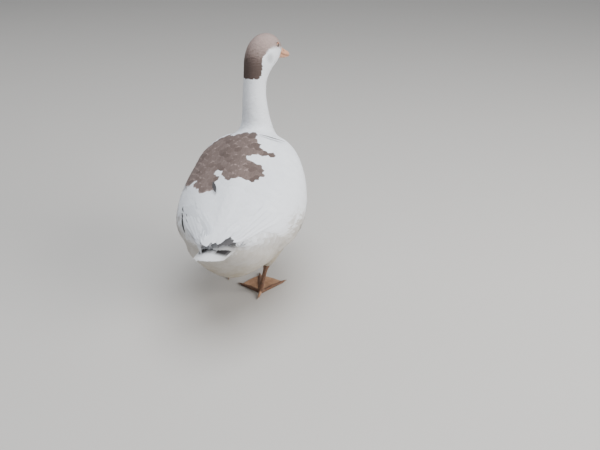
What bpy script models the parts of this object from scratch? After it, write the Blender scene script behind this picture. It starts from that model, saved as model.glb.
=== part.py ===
"""A domestic goose, life size and still, in a slow step with its head turned to its right.

Metres, +Z up. The goose faces -Y, so its right side is at -X, and the floor is at z = 0.
The trunk, neck and head are one loft through named sections, parted into nodes by thin gaps.
Wings, mantle, tail and thighs lie on that loft. They are cut back from it, and from each
other, by grown copies of their neighbours.
"""

import math
from typing import NamedTuple

import bmesh
import bpy
from mathutils import Matrix, Vector

# ---------------------------------------------------------------- driving sizes
GAP = 0.0003  # between neighbouring solids
CUT_BACK = 0.0010  # growth of a solid's copy that its neighbours are cut back from
BODY_AROUND = 32  # corners of a section of the trunk, neck and head
RINGS = 2  # rings from one named section to the next
UP = Vector((0, 0, 1))

HEAD_TURN = math.radians(20)  # of the head to the goose's right
NECK_LEAN = 0.003  # of the neck's top to the goose's left
TWIST_FROM, TWIST_TO = 0.320, 0.460  # heights between which the neck leans and turns
NECK_AXIS = 0.162  # forward place of the upright axis that the head turns about

EYE_RADIUS = 0.0072
EYE_FORWARD, EYE_UP, EYE_OUT = 0.2225, 0.5235, 0.0245
EYE_SEGMENTS = 12

BILL_LENGTH = 0.060
BILL_DROOP = math.radians(17)  # of the line of the mouth below the level
BILL_WIDE = 0.0160  # half its width at the root
BILL_NARROWS = 0.36  # share of that width that it loses towards the tip
UPPER_HIGH, LOWER_HIGH = 0.0255, 0.0105  # heights at the root, above and below the mouth
NAIL_HIGH = 0.0062  # what the nail adds at the tip
MOUTH_SAG = 0.0022  # of the line of the mouth in the middle of the bill
BILL_RINGS, BILL_CORNERS = 11, 10

PAD_ROOT = 0.004  # depth that a wing and the mantle reach into the trunk before they are cut
WING_ACROSS = 8  # steps across a wing, from edge to edge
MANTLE_SINK = 0.008  # by which the mantle's front edge lies lower, at the neck
MANTLE_FRONT = (0.04, 0.12)  # forward places between which it sinks
MANTLE_LAP = 9  # degrees by which the mantle reaches under a wing before it is cut

TAIL_ROOT, TAIL_TIP = 0.205, 0.298  # reach behind the middle
TAIL_WIDE = 0.034  # half its width
TAIL_ASIDE = 0.005  # by which it is held to the goose's left
TAIL_UP = 0.232
TAIL_ARCH = 0.011  # by which its edges lie lower than its middle
TAIL_ROUND = 0.020  # by which its outer feathers end sooner
TAIL_THICK, TAIL_THIN = 0.0188, 0.0028  # at its root and its tip
TAIL_ACROSS, TAIL_ALONG = 10, 6

HOCK_HEIGHT = 0.090
ANKLE_HEIGHT = 0.016
THIGH_BEND = 0.040  # length over which the thigh bends into the shank's line
THIGH_THICK, THIGH_THIN = 0.0478, 0.0108  # its radius at the knee and at the hock
SHANK_THIN, HOCK_KNOB, ANKLE_KNOB = 0.0058, 0.0042, 0.0022  # radius, and what the knobs add
SHANK_FLAT = 0.85  # its width from side to side, as a share of the other

TOE_LENGTHS = (0.064, 0.086, 0.074)  # inner, middle and outer
TOE_SPREAD = (-50, -2, 48)  # degrees from straight ahead, outwards
TOE_THICK, TOE_TAPER, TOE_KNUCKLE = 0.0052, 0.0018, 0.0007
WEB_LOW, WEB_HIGH = 0.0006, 0.0026  # heights of the web's two faces
WEB_SCALLOP = 0.018  # by which its edge is drawn in between the toes
HIND_TOE = 0.020
HIND_THICK, HIND_THIN = 0.0040, 0.0028
HIND_ROOT_UP = 0.009
HEEL_RADIUS = 0.0076
CLAW_LENGTH, CLAW_RADIUS, CLAW_DROP = 0.0085, 0.0021, 0.0012
CLAW_UP = 0.0032  # height of a front claw's root
FLAT_CUT = 0.0012  # depth cut off below the toes, for flats to stand on


class Section(NamedTuple):
    """One cross-section of the body: its centre, the way it faces, and its half sizes."""

    forward: float  # of the centre, towards the breast
    up: float  # of the centre, above the floor
    tilt: float  # degrees by which the section's forward normal points up
    depth: float  # half the size from back to belly
    width: float  # half the size from side to side
    egg: float = 0.0  # share of the depth by which the widest place lies below the middle
    keel: float = 0.0  # share of the width that is lost towards the belly


TRUNK = (  # from under the tail to the root of the neck
    Section(-0.222, 0.215, -4, 0.013, 0.030),
    Section(-0.200, 0.207, -3, 0.036, 0.060, 0.05),
    Section(-0.160, 0.190, 0, 0.074, 0.088, 0.10, 0.35),
    Section(-0.105, 0.188, 2, 0.096, 0.107, 0.07, 0.40),
    Section(-0.040, 0.194, 5, 0.114, 0.119, 0.06, 0.35),
    Section(0.030, 0.202, 9, 0.120, 0.124, 0.06, 0.25),
    Section(0.095, 0.218, 16, 0.117, 0.120, 0.06, 0.12),
    Section(0.142, 0.247, 32, 0.100, 0.101, 0.04),
    Section(0.163, 0.287, 54, 0.072, 0.070),
)
NECK_LOWER = (
    TRUNK[-1],
    Section(0.166, 0.325, 74, 0.048, 0.044),
    Section(0.162, 0.365, 86, 0.036, 0.033),
)
NECK_UPPER = (
    NECK_LOWER[-1],
    Section(0.160, 0.410, 91, 0.030, 0.028),
    Section(0.1655, 0.448, 88, 0.0295, 0.0265),
    Section(0.173, 0.4705, 76, 0.0347, 0.0285, 0.06),
)
HEAD = (  # from the nape to the root of the bill
    NECK_UPPER[-1],
    Section(0.1803, 0.4903, 57, 0.0401, 0.032, 0.12),
    Section(0.1957, 0.5063, 37, 0.0425, 0.0345, 0.12),
    Section(0.2165, 0.513, 17, 0.0398, 0.034, 0.10),
    Section(0.2357, 0.5121, 0, 0.0336, 0.0295, 0.06),
    Section(0.250, 0.508, -16, 0.0245, 0.022),
    Section(0.262, 0.504, -18, 0.0205, 0.0175),
)


class WingStation(NamedTuple):
    """One cross-section of a folded wing: a crescent that lies on the trunk's side."""

    forward: float
    up: float  # of the centre that its arc goes round
    high: float  # the arc's half height
    wide: float  # the arc's half width
    top: float  # degrees from straight up at its upper edge
    low: float  # and at its lower edge
    thick: float  # at the middle of the crescent


WING = (  # from the shoulder to the tip
    WingStation(0.134, 0.265, 0.090, 0.094, 46, 84, 0.004),
    WingStation(0.116, 0.253, 0.108, 0.114, 33, 100, 0.013),
    WingStation(0.070, 0.229, 0.126, 0.135, 25, 112, 0.021),
    WingStation(0.000, 0.204, 0.130, 0.143, 18, 114, 0.022),
    WingStation(-0.070, 0.197, 0.118, 0.137, 11, 112, 0.022),
    WingStation(-0.130, 0.198, 0.096, 0.118, 7, 104, 0.020),
    WingStation(-0.180, 0.207, 0.071, 0.090, 6, 92, 0.017),
    WingStation(-0.214, 0.217, 0.048, 0.064, 7, 80, 0.013),
    WingStation(-0.238, 0.226, 0.032, 0.045, 10, 68, 0.009),
    WingStation(-0.251, 0.231, 0.022, 0.031, 18, 56, 0.004),
)
MANTLE = WING[1:-2]


class Leg(NamedTuple):
    """Where one leg stands. Side is 1 for the left leg and -1 for the right one."""

    name: str
    side: int
    knee: tuple  # out, forward, up: the middle of the thigh's upper end
    hock: tuple
    ankle: tuple
    toe_in: float  # degrees by which the foot points towards the midline


LEGS = (
    Leg("right", -1, (0.058, -0.004, 0.150), (0.058, -0.040, HOCK_HEIGHT),
        (0.039, -0.018, ANKLE_HEIGHT), 11),
    Leg("left", 1, (0.058, 0.030, 0.150), (0.079, 0.022, HOCK_HEIGHT),
        (0.055, 0.060, ANKLE_HEIGHT), 6),
)


# ---------------------------------------------------------------- numbers and places
def catmull(before, start, end, after, t):
    """The smooth value a share t of the way from start to end."""
    return 0.5 * (
        2 * start
        + (end - before) * t
        + (2 * before - 5 * start + 4 * end - after) * t**2
        + (3 * start - before - 3 * end + after) * t**3
    )


def between(stations, per_span):
    """The stations, with smooth ones added so that each span has per_span steps."""
    ends = (stations[0], *stations, stations[-1])
    made = []
    for span in range(len(stations) - 1):
        four = ends[span : span + 4]
        for step in range(per_span):
            t = step / per_span
            made.append(type(stations[0])(*(catmull(*values, t) for values in zip(*four))))
    return [*made, stations[-1]]


def ease(low, high, value):
    """0 below low, 1 above high, and smooth between."""
    t = min(1.0, max(0.0, (value - low) / (high - low)))
    return t * t * (3 - 2 * t)


def shares(steps):
    """The shares 0 to 1 in so many steps."""
    return [i / steps for i in range(steps + 1)]


def place(out, forward, up):
    """A point from its distance to the goose's left, forward and up."""
    return Vector((out, -forward, up))


def leaning(tilt):
    """The unit vectors forward and upward of something whose front points up by so many radians."""
    ahead = place(0, math.cos(tilt), math.sin(tilt))
    return ahead, place(0, -math.sin(tilt), math.cos(tilt))


def posed(point):
    """The point once the neck leans and turns. What lies under the neck stays put."""
    share = ease(TWIST_FROM, TWIST_TO, point.z)
    axis = Vector((0, -NECK_AXIS, 0))
    turned = Matrix.Rotation(-HEAD_TURN * share, 3, "Z") @ (point - axis)
    return turned + axis + Vector((NECK_LEAN * share, 0, 0))


# ---------------------------------------------------------------- meshes
def material(name, colour, roughness):
    """A plain finish, shared by the pieces that have it."""
    made = bpy.data.materials.get(name) or bpy.data.materials.new(name)
    made.use_nodes = True
    shader = made.node_tree.nodes["Principled BSDF"]
    shader.inputs["Base Color"].default_value = (*colour, 1)
    shader.inputs["Roughness"].default_value = roughness
    shader.inputs["Metallic"].default_value = 0
    return made


def white_plumage():
    return material("white_plumage", (0.82, 0.81, 0.78), 0.8)


def brown_plumage():
    return material("brown_plumage", (0.20, 0.145, 0.12), 0.8)


def orange_skin():
    return material("orange_skin", (0.62, 0.22, 0.07), 0.55)


def bill_horn():
    return material("bill_horn", (0.75, 0.27, 0.06), 0.4)


def claw_horn():
    return material("claw_horn", (0.14, 0.10, 0.08), 0.45)


def wet_eye():
    return material("wet_eye", (0.02, 0.03, 0.05), 0.1)


def add_object(name, mesh, finish=None):
    """A smooth-shaded object. Without a finish it is a cutter, which isn't rendered."""
    made = bpy.data.objects.new(name, mesh)
    bpy.context.scene.collection.objects.link(made)
    if finish:
        mesh.materials.append(finish)
        mesh.shade_smooth()
        mesh.set_sharp_from_angle(angle=math.radians(40))
    else:
        made.hide_render = True
        made.display_type = "WIRE"
    return made


def mesh_of(name, bm):
    """The bmesh as a mesh whose faces point out."""
    bmesh.ops.recalc_face_normals(bm, faces=bm.faces)
    mesh = bpy.data.meshes.new(name)
    bm.to_mesh(mesh)
    bm.free()
    return mesh


def ring_mesh(name, rings):
    """The mesh that runs through the rings of points in order, with a cap at each end."""
    bm = bmesh.new()
    rows = [[bm.verts.new(point) for point in ring] for ring in rings]
    count = len(rows[0])
    for row, following in zip(rows, rows[1:]):
        for i in range(count):
            j = (i + 1) % count
            bm.faces.new((row[i], row[j], following[j], following[i]))
    bm.faces.new(rows[0][::-1])
    bm.faces.new(rows[-1])
    return mesh_of(name, bm)


def loft(name, rings, finish=None):
    """An object whose surface runs through the rings."""
    return add_object(name, ring_mesh(name, rings), finish)


def ball(name, centre, radius, finish=None):
    """A sphere, with as many segments as an eye has."""
    bm = bmesh.new()
    bmesh.ops.create_uvsphere(
        bm, u_segments=EYE_SEGMENTS, v_segments=EYE_SEGMENTS * 2 // 3, radius=radius
    )
    bmesh.ops.translate(bm, verts=bm.verts, vec=centre)
    return add_object(name, mesh_of(name, bm), finish)


def boolean(target, other, operation):
    """Cuts or joins other into target, and keeps only the resulting mesh."""
    modifier = target.modifiers.new(operation.lower(), "BOOLEAN")
    modifier.operation = operation
    modifier.solver = "EXACT"
    modifier.object = other
    bpy.context.view_layer.update()
    graph = bpy.context.evaluated_depsgraph_get()
    result = bpy.data.meshes.new_from_object(target.evaluated_get(graph))
    target.modifiers.clear()
    target.data = result


def cut(target, cutters):
    for cutter in cutters:
        boolean(target, cutter, "DIFFERENCE")


def join(target, others):
    """Joins the others into target and removes them."""
    for other in others:
        boolean(target, other, "UNION")
        bpy.data.objects.remove(other)


def ring_round(centre, ahead, radius, corners, flatten=1.0):
    """Corners round a centre, square to the way ahead. Flatten scales them from side to side."""
    side = (Vector((1, 0, 0)) - ahead * ahead.x).normalized()
    other = ahead.cross(side)
    return [
        centre
        + side * (radius * flatten * math.cos(2 * math.pi * k / corners))
        + other * (radius * math.sin(2 * math.pi * k / corners))
        for k in range(corners)
    ]


def tube_rings(points, radii, corners, flatten=1.0):
    """Rings round a path of points, each square to the path."""
    last = len(points) - 1
    ways = [
        (points[min(i + 1, last)] - points[max(i - 1, 0)]).normalized()
        for i in range(len(points))
    ]
    return [
        ring_round(point, way, radius, corners, flatten)
        for point, way, radius in zip(points, ways, radii)
    ]


# ---------------------------------------------------------------- trunk, neck and head
def section_ring(section, grow=0.0, shift=0.0):
    """The corners of a body section, grown all round and shifted forward along its normal."""
    ahead, upward = leaning(math.radians(section.tilt))
    centre = place(0, section.forward, section.up) + ahead * shift
    ring = []
    for k in range(BODY_AROUND):
        angle = 2 * math.pi * k / BODY_AROUND
        depth = math.cos(angle) - section.egg * math.sin(angle) ** 2
        across = math.sin(angle) * (1 - section.keel * max(0.0, -math.cos(angle)) ** 1.5)
        ring.append(posed(
            centre
            + upward * (depth * (section.depth + grow))
            + Vector((across * (section.width + grow), 0, 0))
        ))
    return ring


def body_rings(sections):
    """The rings of a stretch of body. Its first one stands off the stretch before it."""
    fine = between(sections, RINGS)
    return [section_ring(fine[0], shift=GAP)] + [section_ring(section) for section in fine[1:]]


def build_trunk():
    """The trunk. Returns the grown copy of it that its neighbours are cut back from."""
    loft("trunk", body_rings(TRUNK), white_plumage())
    fine = between(TRUNK, RINGS)
    grown = [section_ring(section, CUT_BACK) for section in fine]
    grown[0] = section_ring(fine[0], CUT_BACK, -CUT_BACK)
    grown[-1] = section_ring(fine[-1], CUT_BACK, CUT_BACK)
    return loft("trunk_cutter", grown)


def build_neck():
    loft("neck_lower", body_rings(NECK_LOWER), white_plumage())
    loft("neck_upper", body_rings(NECK_UPPER), white_plumage())


def build_head():
    """The head with a socket for each eye, and the eyes in them."""
    head = loft("head", body_rings(HEAD), brown_plumage())
    for name, side in (("left", 1), ("right", -1)):
        centre = posed(place(side * EYE_OUT, EYE_FORWARD, EYE_UP))
        cut(head, [ball(f"socket_{name}", centre, EYE_RADIUS + GAP)])
        ball(f"eye_{name}", centre, EYE_RADIUS, wet_eye())


# ---------------------------------------------------------------- bill
def upper_height(t):
    """The upper bill's height, a share t of the way from its root to its tip."""
    nail = NAIL_HIGH * ease(0, 0.9, t) * math.sqrt(max(0.02, 1 - ease(0.86, 1.02, t)))
    return UPPER_HIGH * (1 - 0.97 * t**0.82) + nail


def lower_height(t):
    """The lower bill's height, likewise."""
    return LOWER_HIGH * (1 - 0.62 * t) * math.sqrt(max(0.03, 1 - ease(0.70, 1.0, t)))


def bill_half_width(t):
    """Half the bill's width, which rounds off over the last quarter of its length."""
    rounding = math.sqrt(1 - 0.86 * ease(0.72, 1.06, t) ** 2)
    return BILL_WIDE * (1 - BILL_NARROWS * t) * rounding


def bill_half(name, height_at, sign):
    """One half of the bill: an arch above the line of the mouth (sign 1) or below it (-1)."""
    root = HEAD[-1]
    out_of_head, _ = leaning(math.radians(root.tilt))
    ahead, upward = leaning(-BILL_DROOP)
    mouth = place(0, root.forward, root.up) + out_of_head * GAP - upward * (root.depth * 0.42)
    rings = []
    for share in shares(BILL_RINGS - 1):
        t = share**0.9
        sag = MOUTH_SAG * math.sin(math.pi * t)
        line = mouth + ahead * (BILL_LENGTH * t) + upward * (sign * GAP / 2 - sag)
        ring = []
        for k in range(BILL_CORNERS):
            angle = math.pi * k / (BILL_CORNERS - 1)
            across = math.cos(angle) * bill_half_width(t)
            arch = sign * height_at(t) * math.sin(angle) ** 0.85
            ring.append(posed(line + Vector((across, 0, 0)) + upward * arch))
        rings.append(ring)
    loft(name, rings, bill_horn())


def build_bill():
    """The upper and lower halves of the closed bill."""
    bill_half("bill_upper", upper_height, 1)
    bill_half("bill_lower", lower_height, -1)


# ---------------------------------------------------------------- mantle, wings and tail
def arc_point(station, angle, out):
    """The point at this angle from straight up on a wing station's arc, moved out by so much."""
    return place(
        math.sin(angle) * (station.wide + out),
        station.forward,
        station.up + math.cos(angle) * (station.high + out),
    )


def crescent(station, start, end, bulges, grow):
    """A closed ring: an arc between two angles that bulges out, and an inner one in the trunk."""
    angles = [start + (end - start) * share for share in shares(len(bulges) - 1)]
    outer = [arc_point(station, v, bulge + grow) for v, bulge in zip(angles, bulges)]
    depth = -station.thick - PAD_ROOT - grow
    return outer + [arc_point(station, v, depth) for v in reversed(angles)]


def wing_mesh(name, side, grow=0.0):
    """A folded wing: crescents from its upper to its lower edge, thickest in the middle."""
    rings = []
    for station in between(WING, RINGS):
        bulges = [
            station.thick * 0.75 * (math.sin(math.pi * share) ** 0.6 - 1)
            for share in shares(WING_ACROSS)
        ]
        wider = grow / station.wide
        start = side * (math.radians(station.top) - wider)
        end = side * (math.radians(station.low) + wider)
        rings.append(crescent(station, start, end, bulges, grow))
    return ring_mesh(name, rings)


def build_wings(trunk_cutter):
    """Both wings. Returns the grown copies of them that their neighbours are cut back from."""
    cutters = []
    for name, side in (("wing_left", 1), ("wing_right", -1)):
        wing = add_object(name, wing_mesh(name, side), white_plumage())
        cut(wing, [trunk_cutter])
        cutter = f"{name}_cutter"
        cutters.append(add_object(cutter, wing_mesh(cutter, side, CUT_BACK)))
    return cutters


def build_mantle(cutters):
    """The feathers of the back, which fill the space between the wings and reach under both."""
    rings = []
    for station in between(MANTLE, RINGS):
        reach = math.radians(station.top + MANTLE_LAP)
        sink = MANTLE_SINK * ease(*MANTLE_FRONT, station.forward)
        bulges = [
            station.thick * (0.30 * math.sin(math.pi * share) - 0.55) - sink
            for share in shares(WING_ACROSS)
        ]
        rings.append(crescent(station, -reach, reach, bulges, 0.0))
    cut(loft("mantle", rings, brown_plumage()), cutters)


def build_tail(cutters):
    """The short tail: a plate, arched across, that is thick at its root and thin at its tip."""
    rings = []
    for t in shares(TAIL_ALONG):
        wide = TAIL_WIDE * (0.80 + 0.28 * t)
        thick = (TAIL_THICK - TAIL_THIN) * (1 - t) ** 1.2 + TAIL_THIN
        top, bottom = [], []
        for share in shares(TAIL_ACROSS):
            across = 2 * share - 1
            back = TAIL_ROOT + (TAIL_TIP - TAIL_ROOT) * t - TAIL_ROUND * t * across**2
            height = TAIL_UP - 0.004 * t - TAIL_ARCH * across**2
            out = wide * across + TAIL_ASIDE * t
            top.append(place(out, -back, height))
            bottom.append(place(out, -back, height - thick * (1 - 0.4 * across**2)))
        rings.append(top + bottom[::-1])
    cut(loft("tail", rings, white_plumage()), cutters)


# ---------------------------------------------------------------- legs
def leg_points(leg):
    """The knee, the hock, the ankle, and the unit vector from the hock to the ankle."""
    knee, hock, ankle = (
        place(leg.side * out, forward, up) for out, forward, up in (leg.knee, leg.hock, leg.ankle)
    )
    return knee, hock, ankle, (ankle - hock).normalized()


def build_thigh(leg, cutters):
    """The feathered thigh, from inside the trunk to the hock, where it meets the shank's line."""
    knee, hock, _, line = leg_points(leg)
    bend = hock - line * THIGH_BEND
    path = [knee.lerp(bend, t).lerp(bend.lerp(hock, t), t) for t in shares(8)]
    radii = [
        (THIGH_THICK - THIGH_THIN) * math.cos(t * math.pi / 2) ** 1.25 + THIGH_THIN
        for t in shares(8)
    ]
    rings = tube_rings(path, radii, 18, SHANK_FLAT)
    rings[-1] = ring_round(hock, line, radii[-1], 18, SHANK_FLAT)
    cut(loft(f"thigh_{leg.name}", rings, white_plumage()), cutters)


def shank_radius(t):
    """The bare shank's radius from hock (0) to ankle (1), with a knob at each end."""
    hock = HOCK_KNOB * math.exp(-((t / 0.14) ** 2))
    ankle = ANKLE_KNOB * math.exp(-(((1 - t) / 0.12) ** 2))
    return SHANK_THIN + hock + ankle


def build_shank(leg):
    _, hock, ankle, line = leg_points(leg)
    path = [(hock + line * GAP).lerp(ankle, t) for t in shares(8)]
    rings = tube_rings(path, [shank_radius(t) for t in shares(8)], 12, SHANK_FLAT)
    loft(f"shank_{leg.name}", rings, orange_skin())


def toe_direction(leg, degrees):
    """The level way a toe points, its angle counted outwards from the foot's own line."""
    angle = math.radians(degrees - leg.toe_in)
    return place(leg.side * math.sin(angle), math.cos(angle), 0)


def toe_solid(name, root, direction, length):
    """One front toe: a low tapered rod with a knuckle in the middle."""
    path, radii = [], []
    for t in shares(8):
        radius = TOE_THICK - TOE_TAPER * t + TOE_KNUCKLE * math.cos(t * 4 * math.pi)
        path.append(root + direction * (length * t) + UP * (radius - FLAT_CUT))
        radii.append(radius if t < 1 else radius * 0.6)
    return loft(name, tube_rings(path, radii, 8))


def web_solid(name, leg, root):
    """The web: a thin plate between the toes, its edge drawn in between their tips."""
    edge = []
    for first in range(2):
        for t in shares(6):
            degrees = TOE_SPREAD[first] + (TOE_SPREAD[first + 1] - TOE_SPREAD[first]) * t
            reach = TOE_LENGTHS[first] + (TOE_LENGTHS[first + 1] - TOE_LENGTHS[first]) * t
            reach = reach * 0.95 - WEB_SCALLOP * t * (1 - t)
            edge.append(root + toe_direction(leg, degrees) * reach)
    edge.append(root - toe_direction(leg, 0) * 0.003)
    return loft(name, [[point + UP * height for point in edge] for height in (WEB_LOW, WEB_HIGH)])


def hind_toe_solid(name, root, backward):
    """The short hind toe, which slopes down to a small flat of its own. Returns it and its tip."""
    tip = root + backward * HIND_TOE + UP * (HIND_THIN - FLAT_CUT)
    start = root + UP * HIND_ROOT_UP
    way = (tip - start).normalized()
    return loft(name, [
        ring_round(start, way, HIND_THICK, 8),
        ring_round(start.lerp(tip, 0.6), way, (HIND_THICK + 2 * HIND_THIN) / 3, 8),
        ring_round(tip, backward, HIND_THIN, 8),
    ]), tip


def build_claw(name, root, direction):
    """A blunt claw that starts just past the toe's tip and curves down."""
    root = root + direction * GAP
    path = [root + direction * (CLAW_LENGTH * t) - UP * (CLAW_DROP * t * t) for t in shares(3)]
    radii = [CLAW_RADIUS * math.sqrt(1 - 0.9 * t) for t in shares(3)]
    loft(name, tube_rings(path, radii, 7), claw_horn())


def build_foot(leg):
    """A webbed foot, cut flat underneath, with the ankle on top and a claw on each toe."""
    _, _, ankle, line = leg_points(leg)
    root = Vector((ankle.x, ankle.y, 0))
    heel = root + UP * 0.004
    top = ankle + line * GAP
    foot = loft(f"foot_{leg.name}", [
        ring_round(heel, -UP, HEEL_RADIUS, 12, 0.9),
        ring_round(heel.lerp(top, 0.5), line, HEEL_RADIUS, 12, 0.9),
        ring_round(top, line, shank_radius(1), 12, SHANK_FLAT),
    ], orange_skin())
    pieces = [web_solid(f"web_{leg.name}", leg, root)]
    for digit, (degrees, length) in enumerate(zip(TOE_SPREAD, TOE_LENGTHS), 1):
        direction = toe_direction(leg, degrees)
        pieces.append(toe_solid(f"toe_{leg.name}_{digit}", root, direction, length))
        tip = root + direction * length + UP * CLAW_UP
        build_claw(f"claw_{leg.name}_{digit}", tip, direction)
    backward = (toe_direction(leg, -90) * 0.35 - toe_direction(leg, 0)).normalized()
    hind_root = root - toe_direction(leg, 0) * 0.004
    hind, hind_tip = hind_toe_solid(f"hind_{leg.name}", hind_root, backward)
    build_claw(f"claw_{leg.name}_4", hind_tip + UP * CLAW_DROP, backward)
    join(foot, [*pieces, hind])
    square = ((-1, -1), (1, -1), (1, 1), (-1, 1))
    below = loft("floor_cutter", [[Vector((x, y, z)) for x, y in square] for z in (-0.1, 0)])
    cut(foot, [below])
    bpy.data.objects.remove(below)


# ---------------------------------------------------------------- the whole goose
def centre_on_floor():
    """Shifts everything so that the middle of the solids' box is at x = y = 0."""
    bpy.context.view_layer.update()
    corners = [
        Vector(corner)
        for solid in bpy.data.objects if not solid.hide_render
        for corner in solid.bound_box
    ]
    middle = [(min(c[i] for c in corners) + max(c[i] for c in corners)) / 2 for i in range(2)]
    for made in bpy.data.objects:
        made.data.transform(Matrix.Translation((-middle[0], -middle[1], 0)))


def main():
    """Builds the goose in an empty scene."""
    for old in list(bpy.data.objects):
        bpy.data.objects.remove(old)
    trunk_cutter = build_trunk()
    build_neck()
    build_head()
    build_bill()
    cutters = [trunk_cutter, *build_wings(trunk_cutter)]
    build_mantle(cutters)
    build_tail(cutters)
    for leg in LEGS:
        build_thigh(leg, cutters)
        build_shank(leg)
        build_foot(leg)
    centre_on_floor()


main()
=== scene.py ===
"""The looks of a life-size domestic goose: one skin, its plumage, bill, eyes and legs.

Metres, +Z up. The goose faces -Y, so its left side is at +X. Sizes and places come from the
frame. Feathers are vanes of mesh. The small ones follow the skin, and the large ones a smooth form
round it. Each takes the colour that the markings have near its tip.
"""

import logging
import math
from collections import defaultdict
from collections.abc import Sequence
from dataclasses import dataclass, field
from enum import Enum

import bmesh
import bpy
import numpy as np
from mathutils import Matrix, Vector
from mathutils.bvhtree import BVHTree

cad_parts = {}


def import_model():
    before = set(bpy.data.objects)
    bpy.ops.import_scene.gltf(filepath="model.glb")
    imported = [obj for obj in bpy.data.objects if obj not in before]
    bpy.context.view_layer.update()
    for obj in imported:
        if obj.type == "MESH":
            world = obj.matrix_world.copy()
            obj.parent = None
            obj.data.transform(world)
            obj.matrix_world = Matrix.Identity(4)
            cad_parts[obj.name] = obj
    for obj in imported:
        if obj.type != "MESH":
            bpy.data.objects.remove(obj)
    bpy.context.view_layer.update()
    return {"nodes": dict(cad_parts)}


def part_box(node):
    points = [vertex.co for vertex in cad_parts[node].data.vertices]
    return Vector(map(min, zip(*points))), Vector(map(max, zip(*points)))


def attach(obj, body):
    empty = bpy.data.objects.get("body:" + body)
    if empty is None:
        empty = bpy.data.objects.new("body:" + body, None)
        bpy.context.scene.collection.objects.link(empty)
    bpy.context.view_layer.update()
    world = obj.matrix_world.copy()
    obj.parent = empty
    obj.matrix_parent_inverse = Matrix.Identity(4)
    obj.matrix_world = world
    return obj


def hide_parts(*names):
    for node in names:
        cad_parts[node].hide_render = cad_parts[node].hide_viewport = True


LOG = logging.getLogger("goose")
Array = np.ndarray
Piece = bpy.types.Object
Material = bpy.types.Material
Nodes = dict[str, Piece]

UP = np.array([0.0, 0.0, 1.0])
SPINE_UP = 0.20  # height of the line that angles round the trunk are counted about
SPINE_RISE = 0.015  # how much higher it lies at the tail for the large feathers
PATCH = 0.003  # width of a feather's patch on the skin's UV map
MAP_NAME = "OFBake"
TRUNK_TOP = 0.36  # height over which the neck and the head begin

FLESH = (
    "trunk", "neck_lower", "neck_upper", "head", "mantle",
    "wing_left", "wing_right", "thigh_left", "thigh_right",
)


class Side(Enum):
    """A side of the goose, by the sign of its X."""

    LEFT = 1
    RIGHT = -1

    @property
    def word(self) -> str:
        """The side's name as the nodes spell it."""
        return self.name.lower()


# ---- numbers
def ease(low: float, high: float, values: Array | float) -> Array:
    """0 below low, 1 above high, and smooth between."""
    t = np.clip((np.asarray(values, float) - low) / (high - low), 0, 1)
    return t * t * (3 - 2 * t)


def unit(vectors: Array) -> Array:
    """The vectors at length 1."""
    return vectors / np.maximum(np.linalg.norm(vectors, axis=-1, keepdims=True), 1e-12)


def dot(first: Array, second: Array) -> Array:
    """The scalar products along the last axis."""
    return (first * second).sum(-1)


def full_turn(count: int) -> Array:
    """So many angles, spaced evenly round a circle."""
    return np.linspace(0, 2 * math.pi, count, endpoint=False)


def in_plane(vectors: Array, normals: Array) -> Array:
    """The unit vectors of what lies of each vector in the plane square to its normal."""
    return unit(vectors - normals * dot(vectors, normals)[..., None])


def vertices_of(thing: Piece) -> Array:
    """The object's vertices, one row each.

    Args:
        thing: the object.

    Returns:
        One row for each vertex.
    """
    flat = np.empty(len(thing.data.vertices) * 3)
    thing.data.vertices.foreach_get("co", flat)
    return flat.reshape(-1, 3)


def slice_centre(thing: Piece, axis: int, share: float, band: float = 0.06) -> Array:
    """The middle of an object's box where it is cut across one axis.

    Args:
        thing: the object.
        axis: 0, 1 or 2, the axis that the cut is square to.
        share: the place of the cut, from 0 at the object's low end to 1 at its high end.
        band: half the thickness of the slice that is looked at, as a share too.

    Returns:
        The middle of the slice's box.
    """
    places = vertices_of(thing)
    low, high = places[:, axis].min(), places[:, axis].max()
    shares = (places[:, axis] - low) / (high - low)
    near = places[np.abs(shares - share) <= max(band, np.abs(shares - share).min())]
    return (near.min(0) + near.max(0)) / 2


# ---- shader graphs
class Wire:
    """An output of a node. Arithmetic on it adds Math nodes to its graph."""

    def __init__(self, graph: "Graph", socket: bpy.types.NodeSocket) -> None:
        """Keeps the graph and the socket."""
        self.graph = graph
        self.socket = socket

    def maths(self, operation: str, *values: "Wire | float") -> "Wire":
        """The Math node of this operation on the values."""
        return self.graph.node("ShaderNodeMath", {"operation": operation}, dict(enumerate(values)))

    def __add__(self, other: "Wire | float") -> "Wire":
        """The sum."""
        return self.maths("ADD", self, other)

    __radd__ = __add__

    def __sub__(self, other: "Wire | float") -> "Wire":
        """The difference."""
        return self.maths("SUBTRACT", self, other)

    def __rsub__(self, other: float) -> "Wire":
        """The difference from a number."""
        return self.maths("SUBTRACT", other, self)

    def __mul__(self, other: "Wire | float") -> "Wire":
        """The product."""
        return self.maths("MULTIPLY", self, other)

    __rmul__ = __mul__

    def __abs__(self) -> "Wire":
        """The size without its sign."""
        return self.maths("ABSOLUTE", self)

    def sine(self) -> "Wire":
        """The sine."""
        return self.maths("SINE", self)

    def step(self, low: float, high: float) -> "Wire":
        """0 below low, 1 above high, and smooth between.

        Args:
            low: where the rise starts.
            high: where it ends.

        Returns:
            The wire.
        """
        settings = {"interpolation_type": "SMOOTHSTEP"}
        values = {"Value": self, "From Min": low, "From Max": high}
        return self.graph.node("ShaderNodeMapRange", settings, values)


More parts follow.
